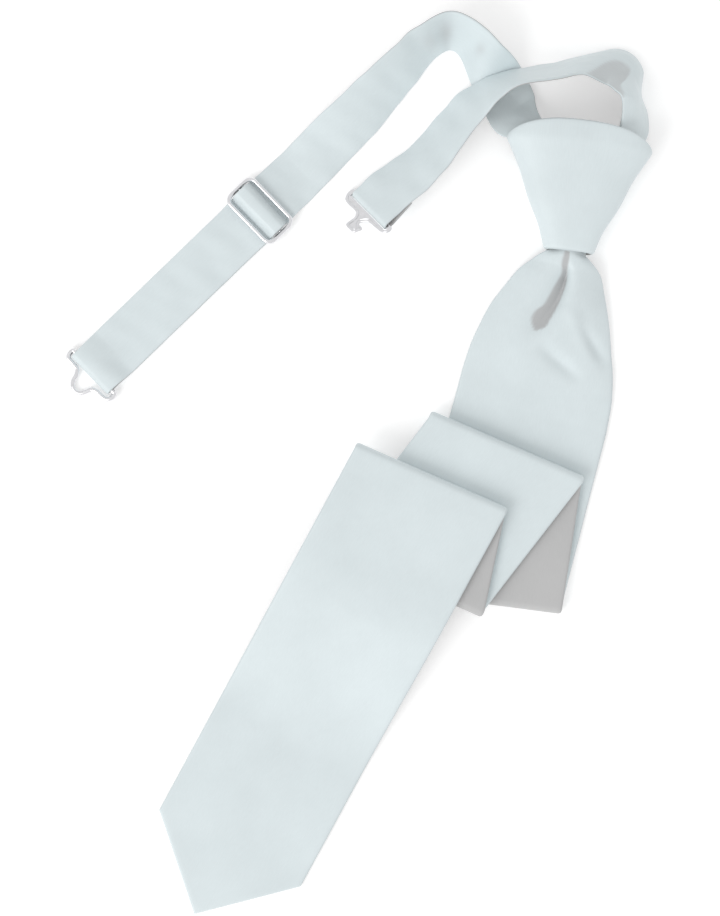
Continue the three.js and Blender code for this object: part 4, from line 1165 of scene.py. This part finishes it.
def satin(cloth):
    """Pale satin with fine lengthwise threads, a plain grey back, painted shade deep in folds and painted shade on its
    rounded edges.
    """
    found = bpy.data.materials.get("Pale Satin")
    if found:
        return found
    material, tree, shader = new_material("Pale Satin")
    link = tree.links.new
    place = add_node(tree, "ShaderNodeUVMap", uv_map=CLOTH_UV)
    body = add_node(tree, "ShaderNodeTexCoord")
    thread_scale = 1 / cloth.weave_pitch
    threads = add_node(tree, "ShaderNodeMapping", {"Scale": (thread_scale, thread_scale / 9, 1)})
    link(place.outputs["UV"], threads.inputs["Vector"])
    thread = add_node(tree, "ShaderNodeTexNoise", {"Scale": 1.0, "Detail": 2.0, "Roughness": 0.5})
    link(threads.outputs["Vector"], thread.inputs["Vector"])
    cloud = add_node(tree, "ShaderNodeTexNoise", {"Scale": 38.0, "Detail": 3.0, "Roughness": 0.55})
    link(body.outputs["Object"], cloud.inputs["Vector"])
    soft = add_node(tree, "ShaderNodeTexNoise", {"Scale": 150.0, "Detail": 2.0, "Roughness": 0.5})
    link(body.outputs["Object"], soft.inputs["Vector"])
    under = add_node(tree, "ShaderNodeAttribute", attribute_name=UNDERSIDE)
    edge = add_node(tree, "ShaderNodeAttribute", attribute_name=EDGE)
    colour = mixed(tree, "MIX", ranged(tree, under.outputs["Fac"], 0, 1, (0.45, 0.62)),
                   (*cloth.front, 1), (*cloth.back, 1))
    # Painted shade: mix towards the painted-shade grey where the shade attribute is set.
    deep = add_node(tree, "ShaderNodeAttribute", attribute_name=SHADE)
    colour = mixed(tree, "MIX", deep.outputs["Fac"], colour, (*cloth.painted_shade, 1))
    shade = ranged(tree, cloud.outputs["Fac"], 0.965, 1.025, (0.3, 0.7))
    fine = ranged(tree, thread.outputs["Fac"], 0.985, 1.015, (0.3, 0.7))
    # Painted shade: the cloth's rounded edges are darkened.
    edge_shade = ranged(tree, edge.outputs["Fac"], 1.0, 0.86, (0.35, 1.0))
    for value in (shade, fine, edge_shade):
        colour = mixed(tree, "MULTIPLY", 1.0, colour, value)
    link(colour, shader.inputs["Base Color"])
    link(ranged(tree, soft.outputs["Fac"], cloth.roughness - 0.05, cloth.roughness + 0.05, (0.3, 0.7)),
         shader.inputs["Roughness"])
    weave = add_node(tree, "ShaderNodeBump", {"Strength": 0.12, "Distance": 0.00006})
    link(thread.outputs["Fac"], weave.inputs["Height"])
    wrinkles = add_node(tree, "ShaderNodeBump", {"Strength": 0.25, "Distance": 0.0003})
    link(soft.outputs["Fac"], wrinkles.inputs["Height"])
    link(weave.outputs["Normal"], wrinkles.inputs["Normal"])
    link(wrinkles.outputs["Normal"], shader.inputs["Normal"])
    shader.inputs["Specular IOR Level"].default_value = 0.35
    shader.inputs["Sheen Weight"].default_value = 0.15
    shader.inputs["Sheen Roughness"].default_value = 0.4
    return material


def polished(metal):
    """Polished nickel with faint rubbing marks, and painted shade that darkens its steep sides into outlines."""
    found = bpy.data.materials.get("Polished Nickel")
    if found:
        return found
    material, tree, shader = new_material("Polished Nickel")
    link = tree.links.new
    body = add_node(tree, "ShaderNodeTexCoord")
    rubbed = add_node(tree, "ShaderNodeTexNoise", {"Scale": 420.0, "Detail": 4.0, "Roughness": 0.6})
    link(body.outputs["Object"], rubbed.inputs["Vector"])
    colour = mixed(tree, "MULTIPLY", 1.0, (*metal.colour, 1), ranged(tree, rubbed.outputs["Fac"], 0.93, 1.03, (0.3, 0.7)))
    # Painted shade: steep sides darkened into dark outlines.
    edge = add_node(tree, "ShaderNodeAttribute", attribute_name=EDGE)
    colour = mixed(tree, "MULTIPLY", 1.0, colour, ranged(tree, edge.outputs["Fac"], 1.0, 0.35, (0.72, 1.0)))
    link(colour, shader.inputs["Base Color"])
    link(ranged(tree, rubbed.outputs["Fac"], metal.roughness - 0.06, metal.roughness + 0.08, (0.3, 0.7)),
         shader.inputs["Roughness"])
    marks = add_node(tree, "ShaderNodeBump", {"Strength": 0.08, "Distance": 0.0001})
    link(rubbed.outputs["Fac"], marks.inputs["Height"])
    link(marks.outputs["Normal"], shader.inputs["Normal"])
    shader.inputs["Metallic"].default_value = 1.0
    return material


# Operators


class NECKTIE_OT_blade(bpy.types.Operator):
    """Builds the accordion-folded blade"""

    bl_idname = "necktie.blade"
    bl_label = "Blade"

    def execute(self, context):
        cloth = context.scene.necktie_cloth
        piece = new_piece("blade_cloth", blade_mesh(cloth), satin(cloth), "blade")
        return {"FINISHED"}


class NECKTIE_OT_knot(bpy.types.Operator):
    """Builds the hollow knot"""

    bl_idname = "necktie.knot"
    bl_label = "Knot"

    def execute(self, context):
        cloth = context.scene.necktie_cloth
        piece = new_piece("knot_cloth", knot_mesh(cloth), satin(cloth), "knot")
        return {"FINISHED"}


class NECKTIE_OT_straps(bpy.types.Operator):
    """Builds the two neck straps"""

    bl_idname = "necktie.straps"
    bl_label = "Neck Straps"

    def execute(self, context):
        cloth, metal = context.scene.necktie_cloth, context.scene.necktie_metal
        for name, node, made, seed, heading in (
            ("slider_strap_cloth", "slider_strap", slider_strap(cloth, metal), 5, SLIDER_STRAP_HEADING),
            ("hook_strap_cloth", "hook_strap", hook_strap(cloth, metal), 8, HOOK_STRAP_HEADING),
        ):
            rows = made[0]
            mesh = strap_mesh(cloth, name, rows, seed, heading, turned=node == "hook_strap")
            piece = new_piece(name, mesh, satin(cloth), node)
            middle = rows[:, rows.shape[1] // 2]
            length = float(np.linalg.norm(np.diff(middle, axis=0), axis=1).sum())
        return {"FINISHED"}


class NECKTIE_OT_metal(bpy.types.Operator):
    """Builds the slider, the wire eye and the stamped hook"""

    bl_idname = "necktie.metal"
    bl_label = "Metal Pieces"

    def execute(self, context):
        cloth, metal = context.scene.necktie_cloth, context.scene.necktie_metal
        nickel = polished(metal)
        _, long_end, eye = slider_strap(cloth, metal)
        _, short_end, bar = hook_strap(cloth, metal)
        new_piece("slider_frame", slider_mesh(cloth, metal, long_end, nickel), nickel, "slider")
        new_piece("eye_wire", eye_mesh(cloth, metal, long_end, eye, nickel), nickel, "eye_clip")
        new_piece("hook_plate", hook_mesh(cloth, metal, short_end, bar, nickel), nickel, "hook_clip")
        return {"FINISHED"}


class NECKTIE_OT_stage(bpy.types.Operator):
    """Sets the floor, the soft light and the camera above the table"""

    bl_idname = "necktie.stage"
    bl_label = "Stage"

    def execute(self, context):
        scene, stage = context.scene, context.scene.necktie_stage
        scene.view_settings.view_transform = "Standard"
        mesh = bpy.data.meshes.new("floor")
        mesh.from_pydata([(-3, -3, 0), (3, -3, 0), (3, 3, 0), (-3, 3, 0)], [], [(0, 1, 2, 3)])
        floor = bpy.data.objects.new("floor", mesh)
        scene.collection.objects.link(floor)
        material, _, shader = new_material("Pale Table")
        shader.inputs["Base Color"].default_value = (*stage.floor, 1)
        shader.inputs["Roughness"].default_value = 0.9
        shader.inputs["Specular IOR Level"].default_value = 0.0
        shader.inputs["Emission Color"].default_value = (1, 1, 1, 1)
        shader.inputs["Emission Strength"].default_value = stage.floor_glow
        mesh.materials.append(material)

        sky = bpy.data.worlds.new("Even Light")
        sky.use_nodes = True
        background = sky.node_tree.nodes["Background"]
        background.inputs["Color"].default_value = (1, 1, 1, 1)
        background.inputs["Strength"].default_value = stage.sky_strength
        scene.world = sky

        window = bpy.data.lights.new("window", "AREA")
        window.shape = "DISK"
        window.size = 1.8
        window.energy = stage.window_power
        lamp = bpy.data.objects.new("window", window)
        lamp.matrix_world = (
            Matrix.Translation((-1.7, -1.5, 1.9))
            @ Matrix.Rotation(math.radians(-49), 4, "Z")
            @ Matrix.Rotation(math.radians(50), 4, "X")
        )
        scene.collection.objects.link(lamp)

        view = bpy.data.cameras.new("view")
        view.sensor_width = 36.0
        view.lens = view.sensor_width * stage.camera_height / stage.view_height
        view.clip_start, view.clip_end = 0.01, 50
        camera = bpy.data.objects.new("view", view)
        camera.location = (KNOT_FOOT[0] - CAMERA_ASIDE[0], KNOT_FOOT[1] - CAMERA_ASIDE[1], stage.camera_height)
        scene.collection.objects.link(camera)
        scene.camera = camera
        return {"FINISHED"}


class NECKTIE_PT_panel(bpy.types.Panel):
    """Lists the tie's settings and the steps that build it"""

    bl_idname = "NECKTIE_PT_panel"
    bl_label = "Skinny Necktie"
    bl_space_type = "VIEW_3D"
    bl_region_type = "UI"
    bl_category = "Necktie"

    def draw(self, context):
        layout, scene = self.layout, context.scene
        for title, settings in (
            ("Cloth", scene.necktie_cloth), ("Metal", scene.necktie_metal), ("Stage", scene.necktie_stage)
        ):
            box = layout.box()
            box.label(text=title)
            for key in settings.__class__.__annotations__:
                box.prop(settings, key)
        for operator in OPERATORS:
            layout.operator(operator.bl_idname)


SETTINGS = {
    "necktie_cloth": NecktieClothSettings,
    "necktie_metal": NecktieMetalSettings,
    "necktie_stage": NecktieStageSettings,
}
OPERATORS = (NECKTIE_OT_stage, NECKTIE_OT_blade, NECKTIE_OT_knot, NECKTIE_OT_straps, NECKTIE_OT_metal)


def register():
    for made in (*SETTINGS.values(), *OPERATORS, NECKTIE_PT_panel):
        bpy.utils.register_class(made)
    for key, group in SETTINGS.items():
        setattr(bpy.types.Scene, key, bpy.props.PointerProperty(type=group))


def unregister():
    for key in SETTINGS:
        delattr(bpy.types.Scene, key)
    for made in reversed((*SETTINGS.values(), *OPERATORS, NECKTIE_PT_panel)):
        bpy.utils.unregister_class(made)


def main():
    """Builds the whole tie."""
    register()
    bpy.ops.necktie.stage()
    bpy.ops.necktie.blade()
    bpy.ops.necktie.knot()
    bpy.ops.necktie.straps()
    bpy.ops.necktie.metal()


if __name__ == "__main__":
    main()
